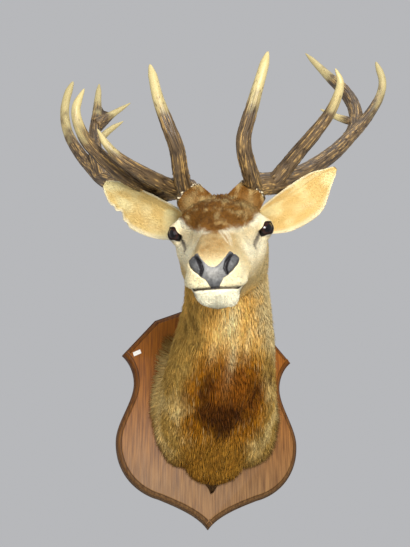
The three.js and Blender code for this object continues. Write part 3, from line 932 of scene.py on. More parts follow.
def coat_depth(points, section):
    """How deep the coat is, in millimetres: almost bare on the face, deepest on the chest."""
    head = to_head(points)
    folded = fold(head)
    forward, up = folded[..., 1], folded[..., 2]
    depth = 1.8 + 3.0 * smoothstep(-20, 20, up) * smoothstep(120, 40, forward)
    depth = depth + 3.0 * smoothstep(30, -40, forward)
    neck = smoothstep(9.5, 12.5, section)
    depth = depth * (1 - neck) + neck * (9 + 9 * smoothstep(12, 15.5, section))
    depth = depth * (1 - 0.5 * near_board(points[..., 1], 60, 0))
    depth = depth * smoothstep(22, 36, distance_to(folded, EYE["at"]))
    return depth * (1 - 0.9 * nose_mask(head))


# ------------------------------------------------------------------ skin

# Scallops in the skin's nailed edge: x and z on the board, reach and depth.
HEM_CUTS = [((-60, -132), 17, 9), ((80, -134), 18, 9), ((-112, -96), 16, 3), ((112, -112), 16, 3)]
# Hollows of the neck: place, reach and rise.
NECK_FORMS = [((-118, -300, 120), 62, -9), ((-130, -55, -25), 62, -7), ((96, -225, 35), 50, -4)]
BODY_ISLAND = (0.0, 0.0, 0.78, 0.94)


def neck_relief(points):
    """How far the neck's skin stands out: hollows, and the scallops beside the board, which lie in."""
    rise = np.zeros(points.shape[:-1])
    for (x, z), reach, depth in HEM_CUTS:
        cut = depth * bell(np.hypot(points[..., 0] - x, points[..., 2] - z), reach)
        rise -= cut * near_board(points[..., 1], 75, 8)
    for place, reach, height in NECK_FORMS:
        rise += height * bell(distance_to(points, place), reach)
    return rise


outside, ring_sections = body_points()
section_grid = np.broadcast_to(ring_sections[:, None], outside.shape[:2])
column_grid = np.broadcast_to(np.arange(RING_POINTS)[None, :] / RING_POINTS, section_grid.shape)
outward = normals_of(outside)
bare_skin = outside - outward * coat_depth(outside, section_grid)[..., None]
relief = face_relief(to_head(bare_skin)) * smoothstep(11.5, 10, section_grid) + neck_relief(outside)
bare_skin = bare_skin + outward * relief[..., None]
skin_points = sink_behind_eyes(bare_skin)
skin_points[..., 1] = np.minimum(skin_points[..., 1], BOARD_FRONT - 0.1)
body_surface = Surface(skin_points, BODY_ISLAND)

# ------------------------------------------------------------------ eyes and lids

EYE_TURNS, EYE_RINGS = 64, 40
# By the angle off the gaze, in radians: how far the cornea bulges and reaches, the pupil's half sizes
# along and across the eye, and where the iris's dark rim starts and is full.
CORNEA_BULGE, CORNEA_REACH = 0.6, 0.62
PUPIL_LENGTH, PUPIL_HEIGHT = 0.55, 0.34
IRIS_RIM = (0.74, 0.86)
LID_TURNS = 120
LID_ROWS = 22
LID_ISLANDS = {-1: (0.80, 0.94, 0.89, 0.99), 1: (0.90, 0.94, 0.99, 0.99)}
# The lid's margin, from inside the glass up over its wet edge: way out from the opening, rise off the glass.
LID_MARGIN = [(-0.6, -1.6), (0.0, 0.4), (0.5, 1.7), (1.6, 2.4)]
LID_RAY = 45  # how far outside the eye the rays start that find the face


def build_eyeball(name, node, side):
    """A glass eye: a ball with a slightly bulging cornea, a brown iris and a long dark pupil."""
    centre, front, above, gaze = lash_frame(side)
    polar = np.linspace(0, math.pi, EYE_RINGS + 1)[:, None]
    angle = turns(EYE_TURNS)[None, :]
    direction = gaze * np.cos(polar)[..., None] + spokes(front, above, angle) * np.sin(polar)[..., None]
    swell = CORNEA_BULGE * bell(polar, CORNEA_REACH)
    points = centre + direction * (EYE["radius"] + swell)[..., None]
    pupil = np.hypot(np.cos(angle) * polar / PUPIL_LENGTH, np.sin(angle) * polar / PUPIL_HEIGHT)
    colour = layered(
        IRIS,
        (PUPIL, smoothstep(1.3, 0.95, pupil)),
        (PUPIL, smoothstep(*IRIS_RIM, polar + 0 * angle)),
    )
    faces = [grid_quads(EYE_RINGS + 1, EYE_TURNS)]
    piece = make_piece(name, finishes["eye"], points.reshape(-1, 3), faces, colour.reshape(-1, 3))
    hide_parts(node)


def lid_grid(side, tree):
    """The lids: rings round the opening, from the eyeball out to where they merge into the face."""
    centre, front, above, gaze = lash_frame(side)
    angle = turns(LID_TURNS)
    edge = aperture(angle)
    away = spokes(front, above, angle)
    rows = []
    for out, lift in LID_MARGIN:
        ball = np.sqrt(np.maximum(EYE["radius"] ** 2 - (edge + out) ** 2, 4))
        rows.append(centre + away * (edge + out)[:, None] + gaze * (ball + lift)[:, None])
    start_height = ball + lift
    upper = smoothstep(-0.2, 0.6, np.sin(angle))
    for share in np.arange(1, LID_ROWS + 1) / LID_ROWS:
        base = centre + away * (edge + out + (LID_REACH - out) * share)[:, None]
        face = np.empty(LID_TURNS)
        for i, place in enumerate(base):
            hit = tree.ray_cast(Vector(place + gaze * LID_RAY), Vector(-gaze), 2 * LID_RAY)
            face[i] = LID_RAY - hit[3] if hit[0] is not None else face[i - 1]
        blend = smoothstep(0, 1, share)
        round_off = -7 * share * (1 - share) ** 2
        height = start_height * (1 - blend) + (face - 0.25) * blend + round_off * (1 - upper * 0.5)
        fold_in = -1.5 * bell(share - 0.3, 0.07) * upper - 0.9 * bell(share - 0.36, 0.08) * (1 - upper)
        puff = 1.2 * bell(share - 0.16, 0.1)
        rows.append(base + gaze * (height + fold_in + puff)[:, None])
    return np.array(rows)


def lid_colours(points):
    row = np.arange(len(points))[:, None] * np.ones(LID_TURNS)
    angle = turns(LID_TURNS)[None, :]
    corner = smoothstep(0.8, 1.0, np.cos(angle))
    below = smoothstep(0.1, 0.8, -np.sin(angle))
    return layered(
        head_colour(to_head(points))[0],
        (SLATE, 0.75 * below * smoothstep(12, 5, row)),
        (LID_DARK, smoothstep(5.6 + 7 * corner, 3.4 + 3 * corner, row)),
    )


face_quads = grid_quads(*bare_skin.shape[:2])
face_tree = BVHTree.FromPolygons(bare_skin.reshape(-1, 3).tolist(), face_quads.tolist())
lids = {side: lid_grid(side, face_tree) for side in SIDES.values()}
for word, side in SIDES.items():
    build_eyeball(f"glass_eye_{word}", f"eye_{word}", side)

# ------------------------------------------------------------------ ears

EAR = {
    "root": (70, -104, 12),
    "tip": (213, -42, 100),
    "facing": (-0.3, 0.9, -0.25),
    "thickness": 5.0,
    "edge": 1.6,
}
# Share of the length, reach below and above the middle line, depth of the cup.
EAR_BLADE = [
    (0, 30, 20, 20),
    (0.2, 48, 22, 24),
    (0.42, 54, 23, 20),
    (0.62, 51, 22, 15),
    (0.8, 36, 19, 10),
    (0.93, 19, 12, 5),
    (1, 6, 5, 1),
]
EAR_ROWS = 90
EAR_COLUMNS = 40  # across one face
EAR_LENGTH, EAR_HALF_WIDTH = 180, 60  # about; the ripples are laid on them
EAR_RIM = 0.07  # how far in the rim is rounded, as a share of the half width
EAR_ISLANDS = {-1: (0.80, 0.0, 0.99, 0.45), 1: (0.80, 0.47, 0.99, 0.92)}
TORN_NOTCHES = [(0.70, 0.05, 13), (0.80, 0.03, 6), (0.60, 0.035, 5)]  # place, width and depth, one ear


def ear_points(side):
    """Rings across the hollow face from its lower to its upper edge, and back over the outside."""
    root, tip = (from_head(mirrored(EAR[end], side)) for end in ("root", "tip"))
    facing = head_direction(mirrored(EAR["facing"], side))
    upward = unit(np.cross(unit(tip - root), facing))
    upward = upward * np.sign(upward @ HEAD_AXES[2])
    along, below, above, cup = smooth_through(EAR_BLADE, False, np.linspace(0, 1, EAR_ROWS)).T[..., None]
    if side == SIDES["left"]:
        below = below - 7 * bell(along - 0.86, 0.14)
        above = above - 4 * bell(along - 0.9, 0.1)
    else:
        for place, width, depth in TORN_NOTCHES:
            below = below - depth * bell(along - place, width)
    across = np.linspace(-1, 1, EAR_COLUMNS)[None, :]
    inner = 1 - across**2
    reach = np.where(across < 0, below, above) * across
    ridges = 0.9 * np.sin(across * 13 + 0.6) * (smoothstep(0.1, 0.3, along) * smoothstep(0.95, 0.6, along))
    place = np.stack([along * EAR_LENGTH + 0 * across, across * EAR_HALF_WIDTH + 0 * along, 0 * reach], -1)
    ripple = 2.2 * noise(place, 34, 41 + side) * across**2
    hollow = cup * inner - ridges * inner - ripple
    front = (root + (tip - root) * along)[:, None] + upward * reach[..., None] - facing * hollow[..., None]
    shell = EAR["edge"] + (EAR["thickness"] - EAR["edge"]) * inner * (1 - 0.5 * along)
    back = front - facing * shell[..., None]
    rim = np.clip(1 - (1 - np.abs(across)) / EAR_RIM, 0, 1)[..., None]
    front = front - facing * 0.6 * rim**2
    return np.concatenate([front, back[:, ::-1]], 1)


def ear_colours(points, side):
    line = np.linspace(-1, 1, EAR_COLUMNS)
    across = np.concatenate([line, line[::-1]])[None, :] * np.ones(points.shape[:2])
    along = np.linspace(0, 1, EAR_ROWS)[:, None] * np.ones(points.shape[:2])
    blotch = noise(points, 24, 51)
    crumple = noise(np.stack([along * 5, across * 6, 0 * along + side], -1), 1.0, 53)
    warm = smoothstep(-0.1, 0.8, crumple) * smoothstep(0.75, 0.1, along) * smoothstep(0.5, -0.6, across)
    inner = layered(
        EAR_GOLD,
        (EAR_PALE, smoothstep(-0.35, 0.5, blotch + 0.4 * crumple)),
        (EAR_ORANGE, 0.35 * warm),
        (CREAM_WHITE, 0.6 * smoothstep(0.8, 0.97, np.abs(across))),
        # Painted shade deep in the cup at the ear's root.
        (NECK_DARK, 0.25 * smoothstep(0.16, 0.0, along) * smoothstep(0.8, 0.2, np.abs(across))),
    )
    # Painted shade: the right ear is darkened, as it gets less of the light.
    if side == SIDES["right"]:
        inner = inner * RIGHT_EAR_SHADE
    outer = layered(
        EAR_BACK,
        (NECK_DARK, 0.4 * smoothstep(0.0, 0.8, blotch)),
        (EAR_PALE, 0.6 * smoothstep(0.86, 0.99, np.abs(across))),
    )
    is_back = np.arange(2 * EAR_COLUMNS) >= EAR_COLUMNS
    return mix(inner, outer, is_back * np.ones(points.shape[:2]))


ears = {side: ear_points(side) for side in SIDES.values()}

# ------------------------------------------------------------------ stumps under the antlers

BURR = {"at": (58, -62, 67), "facing": (0.6, -0.35, 0.72), "radius": 25.5, "bead": 4.2}
# Distance from the burr's plane along the antler's foot, and radius.
STUMP_PROFILE = [
    (-44, 30), (-34, 31), (-25, 31), (-17, 30), (-10, 29), (-5, 28), (-1, 27), (1.5, 25), (2.5, 20),
]
STUMP_ROWS = 26
STUMP_TURNS = 96
STUMP_ISLANDS = {-1: (0.0, 0.95, 0.38, 0.99), 1: (0.40, 0.95, 0.78, 0.99)}


def burr_axes(side):
    centre = from_head(mirrored(BURR["at"], side))
    axis = head_direction(mirrored(BURR["facing"], side))
    first = unit(np.cross(axis, HEAD_AXES[1]))
    return centre, axis, first, np.cross(axis, first)


def stump_points(side):
    """The haired stump that carries the antler, from inside the skull up to the burr."""
    centre, axis, first, second = burr_axes(side)
    distance, radius = smooth_through(STUMP_PROFILE, False, np.linspace(0, 1, STUMP_ROWS)).T[..., None, None]
    return centre + axis * distance + spokes(first, second, turns(STUMP_TURNS)) * radius


stumps = {side: stump_points(side) for side in SIDES.values()}

# ------------------------------------------------------------------ one skin


def build_skin():
    body_colour, bare = coat_colour(skin_points, section_grid, column_grid)
    # Darker under the neck's deep coat: partly its darker undercoat, partly painted shade deep in the coat.
    body_colour = body_colour * (1 - 0.35 * smoothstep(8, 12, section_grid))[..., None]
    grids = [(skin_points, body_colour, "open", BODY_ISLAND)]
    for side in SIDES.values():
        grids.append((ears[side], ear_colours(ears[side], side), "open", EAR_ISLANDS[side]))
        grids.append((lids[side], lid_colours(lids[side]), "open", LID_ISLANDS[side]))
        grids.append((stumps[side], head_colour(to_head(stumps[side]))[0], "open", STUMP_ISLANDS[side]))
    points, quads, _, shades, uvs = join_grids(grids)

    # One more point closes the tip of the nose.
    tip = len(points)
    points = np.concatenate([points, skin_points[0].mean(0)[None]])
    shades = np.concatenate([shades, body_colour[0].mean(0)[None]])
    triangles = fan(np.arange(RING_POINTS), tip)
    a, b, c = points[triangles[0]]
    if np.cross(b - a, c - a) @ HEAD_AXES[1] < 0:
        triangles = triangles[:, ::-1]
    tip_uvs = np.stack([triangles / RING_POINTS * BODY_ISLAND[2], np.zeros(triangles.shape)], -1)
    tip_uvs[triangles == tip] = (BODY_ISLAND[2] / 2, 0.0)
    uvs = np.concatenate([uvs, tip_uvs.reshape(-1, 2)])

    skin = make_piece("skin", finishes["hide"], points, [quads, triangles], shades, uvs)
    skin.data.materials.append(finishes["nose"])
    on_nose = np.zeros(len(points), bool)
    on_nose[: bare.size] = (bare > 0.5).ravel()
    slots = np.concatenate([on_nose[quads].sum(1) >= 3, np.ones(len(triangles), bool)])
    skin.data.polygons.foreach_set("material_index", slots.astype(np.int32))
    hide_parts("neck", "head", "lower_jaw", "nose_pad", "ear_right", "ear_left")


build_skin()

# ------------------------------------------------------------------ hair

sparse = 1.0
TUFT_PATCH = 0.003  # how far one tuft reaches over the unwrap
HAIR_SIDES = (0.90, 0.98, 1.10)  # shades of a tuft's left, right and ridge lines
TUFT_WIDTHS = [(0, 0.65), (0.3, 1.0), (0.65, 0.8), (1, 0.1)]  # by share of its length
TUFT_HEIGHT = 0.7  # of the ridge, by half width
# A tuft's colour is darkened at its root and runs up to this at its tip: the darker roots are painted shade
# deep in the coat.
TIP_SHADE = 1.04
ROOT_SINK = 0.8  # how deep the roots start in the skin
LID_CLEARANCE = 12  # between the lids' edges and the hair of the face
SLIT_CLEARANCE = 4.2  # between the tear slits and the hair
DOWN = np.array([0.0, 0.0, -1.0])


def hair_frames(surface, row, column, flow_at, length, depth, stand, steps):
    """Centre lines, normals and sideways directions of tufts that follow the surface."""
    share = np.linspace(0, 1, steps)
    centres, ups, acrosses = [], [], []
    for k in range(steps):
        point = surface.read(surface.points, row, column)
        normal = unit(surface.read(surface.normals, row, column))
        flow = flow_at(point, normal, row, column)
        flow = unit(flow - normal * np.sum(flow * normal, 1, keepdims=True))
        rise = share[k] ** 0.75 * (depth + stand * share[k] ** 2)
        sink = ROOT_SINK if k == 0 else 0.0
        centres.append(point + normal * (rise - sink)[:, None])
        ups.append(normal)
        acrosses.append(np.cross(flow, normal))
        if k + 1 < steps:
            row, column = surface.step(row, column, flow, length * (share[k + 1] - share[k]))
    return np.stack(centres, 1), np.stack(ups, 1), np.stack(acrosses, 1)


def tuft_mesh(name, frames, width, shades, uv_roots, root_painted_shade):
    """Closed tapering tufts, three-sided, one for each row of frames."""
    centres, ups, acrosses = frames
    count, steps = centres.shape[:2]
    share = np.linspace(0, 1, steps)[:-1]
    half = width[:, None] / 2 * table_at(share, TUFT_WIDTHS)[None, :]
    body = centres[:, :-1]
    left = body - acrosses[:, :-1] * half[..., None]
    right = body + acrosses[:, :-1] * half[..., None]
    ridge = body + ups[:, :-1] * (half * TUFT_HEIGHT)[..., None]
    rings = np.stack([left, right, ridge], 2).reshape(count, -1, 3)
    points = np.concatenate([rings, centres[:, -1:]], 1)
    per = points.shape[1]  # points in a tuft
    quads = []
    for a in range(0, 3 * (steps - 2), 3):
        b = a + 3
        quads += [(a, b, b + 1, a + 1), (a + 1, b + 1, b + 2, a + 2), (a + 2, b + 2, b, a)]
    last, tip = 3 * (steps - 2), per - 1
    triangles = [(last, tip, last + 1), (last + 1, tip, last + 2), (last + 2, tip, last), (0, 1, 2)]
    starts = (np.arange(count) * per)[:, None, None]
    faces = [(np.array(kind)[None] + starts).reshape(-1, len(kind[0])) for kind in (quads, triangles)]
    point_share = np.append(np.repeat(share, 3), 1.0)
    # Painted shade: each tuft is darker at its root, deep in the coat. Its left, right and ridge lines take
    # slightly different tones.
    lightness = root_painted_shade + (TIP_SHADE - root_painted_shade) * point_share**0.6
    lightness = lightness * np.append(np.tile(HAIR_SIDES, steps - 1), 1.0)
    colours = (np.clip(shades, 0, 1)[:, None, :] * lightness[None, :, None]).reshape(-1, 3)
    u_offsets = np.append(np.tile([-0.5, 0.5, 0.0], steps - 1), 0.0)
    local = np.stack([u_offsets, point_share], -1) * TUFT_PATCH
    uvs = np.clip(uv_roots[:, None, :] + local[None], 0.0005, 0.9995).reshape(-1, 2)
    corners = np.concatenate([group.ravel() for group in faces])
    piece = make_piece(name, finishes["hair"], points.reshape(-1, 3), faces, colours, uvs[corners])


def even_roots(surface, rows_range, gaps, keep=None):
    """Roots spread evenly over rows of the surface, each nudged at random; keep filters them."""
    low, high = rows_range
    row_gap, column_gap = (gap * sparse for gap in gaps)
    middle_along = np.linalg.norm(surface.along, axis=-1).mean(1)
    distance = np.concatenate([[0], np.cumsum(middle_along[:-1])])
    lines = np.arange(distance[low], distance[high - 1], row_gap)
    ring_rows = np.interp(lines, distance, np.arange(surface.rows))
    girth = np.linalg.norm(surface.across, axis=-1).sum(1)
    rows, columns = [], []
    for k, ring_row in enumerate(ring_rows):
        count = max(3, int(girth[int(ring_row)] / column_gap))
        spread = (np.arange(count) + 0.5 * (k % 2) + rng.uniform(-0.45, 0.45, count)) / count
        nudge = rng.uniform(-0.5, 0.5, count)
        rows.append(ring_row + nudge * row_gap / max(middle_along[int(ring_row)], 0.05))
        columns.append((spread % 1) * surface.columns)
    row = np.clip(np.concatenate(rows), 0, surface.rows - 1.001)
    column = np.concatenate(columns)
    if keep is None:
        return row, column
    chosen = keep(surface.read(surface.points, row, column), column)
    return row[chosen], column[chosen]


def turned(flow, normal, angle):
    """Turns each flow direction about its normal."""
    across = np.cross(normal, flow)
    return flow * np.cos(angle)[:, None] + across * np.sin(angle)[:, None]


def section_of(row):
    return np.interp(row, np.arange(len(ring_sections)), ring_sections)


def body_flow(point, normal, row, column):
    """The lie of the coat: back from the nose over the face, and down the neck."""
    flow = unit(body_surface.read(body_surface.along, row, column))
    section = section_of(row)
    fall = smoothstep(10.5, 13.5, section) * 0.75
    down = DOWN - normal * (normal @ DOWN)[:, None]
    flow = unit(flow + fall[:, None] * down)
    wander = 0.28 * noise(point, 26, 61) + 0.22 * noise(point, 9, 62)
    forehead = smoothstep(20, 60, to_head(point)[:, 2] + 15) * smoothstep(11, 9, section)
    return turned(flow, normal, wander * (1 + 1.6 * forehead))


def hem_flare(point):
    """How far the tips of the hair stand off near the board: most at the upper left corner."""
    x, y, z = split(point)
    ruff = table_at(x, RUFF) * smoothstep(-60, 20, z)
    return near_board(y, 70, 15) * (ruff + 16 * smoothstep(50, 100, x) * smoothstep(-120, -60, z) + 4)


def grow_coat(name, sections, sectors, gaps, length, width, steps, keep, stand, tone, root_painted_shade):
    """Grows one zone of the coat, cut into sectors round the body so that no piece is too heavy."""
    row, column = even_roots(body_surface, np.searchsorted(ring_sections, sections), gaps, keep)
    point = body_surface.read(body_surface.points, row, column)
    section = section_of(row)
    count = len(row)
    tint = (1 + rng.normal(0, tone, count))[:, None]
    warmth = rng.normal(0, 0.03, count)
    tint = tint * (1 + np.stack([warmth, 0 * warmth, -warmth], 1))
    long = length(point, section) * rng.uniform(0.75, 1.2, count)
    wide = width(point, section) * rng.uniform(0.75, 1.3, count)
    standing = stand * rng.normal(0, 1, count) + hem_flare(point)
    rise = coat_depth(point, section) * rng.uniform(0.7, 1.05, count)
    frames = hair_frames(body_surface, row, column, body_flow, long, rise, standing, steps)
    frames[0][..., 1] = np.minimum(frames[0][..., 1], BOARD_FRONT - 0.8)
    colour = coat_colour(frames[0][:, (steps - 1) // 2], section, column / RING_POINTS)[0] * tint
    uvs = body_surface.unwrap(row, column)
    which = np.floor(column / RING_POINTS * sectors).astype(int) % sectors
    for sector in range(sectors):
        own = which == sector
        own_frames = [part[own] for part in frames]
        tuft_mesh(f"{name}_{sector + 1}", own_frames, wide[own], colour[own], uvs[own], root_painted_shade)


def face_keep(points, column):
    """True where hair may grow: off the nose, the lips' edges, the eyes, their lids and their slits."""
    head = to_head(points)
    clear = nose_mask(head) < 0.3
    for side in SIDES.values():
        out, height, edge = around_eye(points, side)
        clear &= (out > edge + LID_CLEARANCE) | (height < -4)
        clear &= to_segment(head, *mirrored(TEAR_SLIT, side)) > SLIT_CLEARANCE
    above = head[:, 2] - mouth_line(head[:, 1])
    return clear & ((above < -1.6) | (above > 3.2) | (head[:, 1] < MOUTH_CORNER))


def face_length(point, section):
    head = to_head(point)
    top = smoothstep(-10, 30, head[:, 2]) * smoothstep(150, 70, head[:, 1])
    return 3.6 + 3.4 * smoothstep(1, 7, section) + 6 * top + 4 * smoothstep(8, 10.5, section)


def face_width(point, section):
    return 1.15 + 0.55 * smoothstep(2, 7, section)


def neck_length(point, section):
    hem = near_board(point[:, 1], 60, 20)
    tail = 30 * hem * bell(point[:, 0] - 5, 9) * smoothstep(-100, -130, point[:, 2])
    return (9 + 33 * smoothstep(10.7, 14, section)) * (1 - 0.35 * hem) + tail


def neck_width(point, section):
    x, y, z = split(point)
    behind = smoothstep(20, 120, z + 0.55 * y + 60) * smoothstep(11, 13, section)
    ruff = smoothstep(-40, -65, x) * smoothstep(-20, 30, z) * near_board(y, 75, 35)
    return 1.3 + 1.1 * smoothstep(10.8, 14, section) + 0.6 * behind + 1.6 * ruff


def throat_side(points, column):
    return np.abs(column / RING_POINTS * 2 - 1) < 0.56


def crest_side(points, column):
    return ~throat_side(points, column)


# The ruff by the board: x, and how far its hair stands off.
RUFF = [(-125, 3), (-98, 18), (-67, 46), (-47, 62), (-20, 40), (0, 8)]
FACE_HAIR = {"sectors": 1, "length": face_length, "width": face_width, "keep": face_keep}
THROAT_HAIR = {"length": neck_length, "width": neck_width, "keep": throat_side, "root_painted_shade": 0.7, "steps": 5}
CREST_HAIR = THROAT_HAIR | {"keep": crest_side, "root_painted_shade": 0.65, "steps": 4, "sectors": 2}
# The gaps between roots are along and across the body.
COAT_ZONES = {
    "coat_muzzle": FACE_HAIR | {"sections": (-0.9, 4.6), "gaps": (2.0, 1.55), "steps": 3, "stand": 0.3,
                                "tone": 0.05, "root_painted_shade": 0.86},
    "coat_face": FACE_HAIR | {"sections": (4.6, 8.4), "gaps": (2.5, 1.9), "steps": 3, "stand": 0.4,
                              "tone": 0.07, "root_painted_shade": 0.8},
    "coat_poll": FACE_HAIR | {"sections": (8.4, 10.9), "gaps": (2.9, 2.1), "steps": 4, "stand": 0.7,
                              "tone": 0.1, "root_painted_shade": 0.72},
    "coat_throat": THROAT_HAIR | {"sections": (10.7, 13.0), "sectors": 3, "gaps": (3.4, 1.9), "stand": 1.5,
                                  "tone": 0.12},
    "coat_nape": CREST_HAIR | {"sections": (10.7, 13.0), "gaps": (4.6, 2.6), "stand": 1.5, "tone": 0.12},
    "coat_chest": THROAT_HAIR | {"sections": (12.9, 17.0), "sectors": 4, "gaps": (3.6, 2.1), "stand": 2.0,
                                 "tone": 0.13},
    "coat_crest": CREST_HAIR | {"sections": (12.9, 17.0), "gaps": (5.2, 2.9), "stand": 2.0, "tone": 0.13},
}
for name, zone in COAT_ZONES.items():
    grow_coat(name, **zone)

HEM_POINT = {"roots": (-10, 21), "root_z": -157, "tip": (5.5, -24.5, -179), "count": 150, "steps": 4}


def grow_hem_point():
    """The dark point of hair that hangs over the board from the foot of the skin."""
    count = HEM_POINT["count"]
    x = rng.uniform(*HEM_POINT["roots"], count)
    roots = np.stack([x, rng.uniform(-32, -24, count), HEM_POINT["root_z"] + rng.uniform(-6, 8, count)], 1)
    tips = np.array(HEM_POINT["tip"]) + rng.normal(0, 1, (count, 3)) * np.array([1.6, 0.6, 3.0])
    share = np.linspace(0, 1, HEM_POINT["steps"])[None, :, None]
    centres = roots[:, None] * (1 - share) + tips[:, None] * share
    centres[..., 1] = np.minimum(centres[..., 1] - 3 * np.sin(share[..., 0] * math.pi), BOARD_FRONT - 0.8)
    ups, acrosses = (np.broadcast_to(way, centres.shape) for way in ([0.0, -1.0, 0.0], [1.0, 0.0, 0.0]))
    shades = HEM_DARK * (1 + rng.normal(0, 0.15, count))[:, None]
    uvs = body_surface.unwrap(np.full(count, body_surface.rows - 2.0), (0.5 + (x - 5) / 400) * RING_POINTS)
    tuft_mesh("coat_hem_point", (centres, ups, acrosses), rng.uniform(1.4, 2.2, count), shades, uvs, 0.7)


grow_hem_point()

# ------------------------------------------------------------------ hair on ears, lids and stumps


def outward_surface(points, island, way):
    """A surface of rings whose normals point along way."""
    surface = Surface(points, island)
    if np.median(np.sum(surface.normals * way, -1)) < 0:
        surface.normals = -surface.normals
    return surface


def grow_on(name, surface, shades, lie, rows, gaps, wander, length, width, rise, tone, root_painted_shade, keep=None):
    """Short tufts over a small surface; lie gives their direction at each root."""
    row, column = even_roots(surface, rows, gaps, keep)
    count = len(row)

    def flow(point, normal, row, column):
        angle = wander * (noise(point, 14, 71) + 0.6 * noise(point, 5, 72))
        return turned(lie(point, row, column), normal, angle)

    colour = surface.read(shades, row, column) * (1 + rng.normal(0, tone, count))[:, None]
    long, wide, lift = (rng.uniform(*bounds, count) for bounds in (length, width, rise))
    frames = hair_frames(surface, row, column, flow, long, lift, rng.normal(0, 0.4, count), 3)
    tuft_mesh(name, frames, wide, colour, surface.unwrap(row, column), root_painted_shade)


def beside_slits(points, column):
    return to_segment(fold(to_head(points)), *TEAR_SLIT) > SLIT_CLEARANCE


def constant_lie(direction):
    return lambda point, row, column: np.broadcast_to(direction, point.shape)


EAR_HAIR = {"rows": (2, EAR_ROWS - 3), "gaps": (2.6, 1.8), "wander": 0.25, "length": (5, 9),
            "width": (1.0, 1.6), "rise": (0.4, 1.0), "tone": 0.035, "root_painted_shade": 0.95}
STUMP_HAIR = {"rows": (0, 21), "gaps": (2.6, 1.9), "wander": 0.5, "length": (5, 8), "width": (1.2, 1.8),
              "rise": (1.0, 2.2), "tone": 0.1, "root_painted_shade": 0.72}
LID_HAIR = {"rows": (9, LID_ROWS + 2), "gaps": (1.7, 1.2), "wander": 0.3, "length": (2.5, 4.0),
            "width": (0.7, 1.1), "rise": (0.3, 0.8), "tone": 0.06, "root_painted_shade": 0.9, "keep": beside_slits}


def grow_small_coats(word, side):
    ear, stump, lid = ears[side], stumps[side], lids[side]
    root, tip = (from_head(mirrored(EAR[end], side)) for end in ("root", "tip"))
    surface = outward_surface(ear, EAR_ISLANDS[side], ear - ear.mean(1, keepdims=True))
    grow_on(f"coat_ear_{word}", surface, ear_colours(ear, side), constant_lie(unit(tip - root)), **EAR_HAIR)

    surface = outward_surface(stump, STUMP_ISLANDS[side], stump - stump.mean(1, keepdims=True))
    lie = constant_lie(burr_axes(side)[1])
    grow_on(f"coat_stump_{word}", surface, head_colour(to_head(stump))[0], lie, **STUMP_HAIR)

    surface = outward_surface(lid, LID_ISLANDS[side], lash_frame(side)[3])

    def lid_lie(point, row, column):
        return unit(surface.read(surface.along, row, column)) - 0.9 * HEAD_AXES[1]

    grow_on(f"coat_lid_{word}", surface, lid_colours(lid), lid_lie, **LID_HAIR)


for word, side in SIDES.items():
    grow_small_coats(word, side)

# ------------------------------------------------------------------ antlers

# Each branch: its line, for the left side, and its radii at the root, halfway and at the tip.
ANTLERS = {
    "right": {
        "beam": ([(50, -56, 62), (64, -68, 80), (92, -90, 84), (124, -116, 80), (160, -150, 90),
                  (209, -201, 103), (257, -258, 121), (289, -297, 150), (324, -338, 189),
                  (354, -374, 236), (364, -392, 284), (360, -412, 328), (347, -427, 364)], (22, 15, 8)),
        "brow_tine": ([(66, -60, 74), (68, -20, 112), (69, 11, 151), (81, 26, 193), (94, 29, 237),
                       (101, 26, 276), (106, 22, 300)], (15, 12.5, 7)),
        "bez_tine": ([(78, -74, 82), (106, -22, 95), (142, 22, 118), (170, 46, 141), (188, 55, 165),
                      (202, 49, 191)], (14, 11.5, 4)),
        "trez_tine": ([(126, -114, 82), (165, -46, 106), (196, 0, 134), (222, 31, 167), (233, 50, 197),
                       (235, 54, 228), (221, 41, 263)], (14, 12.5, 5)),
        "crown": ([(260, -262, 124), (280, -305, 178), (290, -352, 228), (291, -398, 278),
                   (294, -437, 318), (296, -478, 363)], (16, 12.5, 5)),
        "crown_upper_prong": ([(290, -376, 252), (253, -410, 281), (214, -422, 304)], (17, 8, 4)),
        "crown_lower_prong": ([(285, -330, 206), (255, -357, 237), (226, -376, 257)], (9, 7, 4)),
    },
    "left": {
        "beam": ([(50, -56, 62), (64, -68, 78), (84, -82, 82), (106, -98, 82), (133, -123, 90),
                  (174, -164, 108), (226, -221, 142), (262, -264, 173), (290, -297, 199),
                  (321, -337, 233), (347, -371, 271), (358, -400, 310), (350, -430, 357)], (22, 14, 7)),
        "brow_tine": ([(64, -60, 72), (58, -14, 102), (51, 16, 137), (53, 29, 166), (68, 40, 207),
                       (85, 43, 254), (102, 39, 303)], (15, 12.5, 7)),
        "trez_tine": ([(86, -88, 80), (106, -83, 91), (127, -75, 112), (152, -62, 139), (178, -44, 165),
                       (204, -30, 195), (220, -16, 224), (226, -6, 249), (218, -2, 273)], (15, 12, 5)),
        "crown": ([(262, -264, 174), (284, -318, 204), (290, -366, 247), (275, -414, 293),
                   (244, -471, 341), (198, -524, 407)], (12, 13.5, 4)),
        "crown_lower_prong": ([(285, -328, 212), (251, -346, 228), (215, -366, 251)], (9, 7, 4)),
    },
}
IVORY_FROM = {"beam": 0.79, "brow_tine": 0.69, "bez_tine": 0.78, "trez_tine": 0.73, "crown": 0.70,
              "crown_upper_prong": 0.42, "crown_lower_prong": 0.3}
TIP_LENGTHS = {"brow_tine": 22}  # how far from its end a branch starts to close, where it isn't the usual
TIP_LENGTH = 28
BRANCH_TURNS = 96
BRANCH_STEP = 3.0
GRAIN_RADIUS = 14  # of the round branch on which the noise is laid
LEAST_RINGS = 12
BURR_TURNS, BEAD_TURNS = 200, 22
BURR_RISE = 2.5  # of the burr's middle line, along its axis


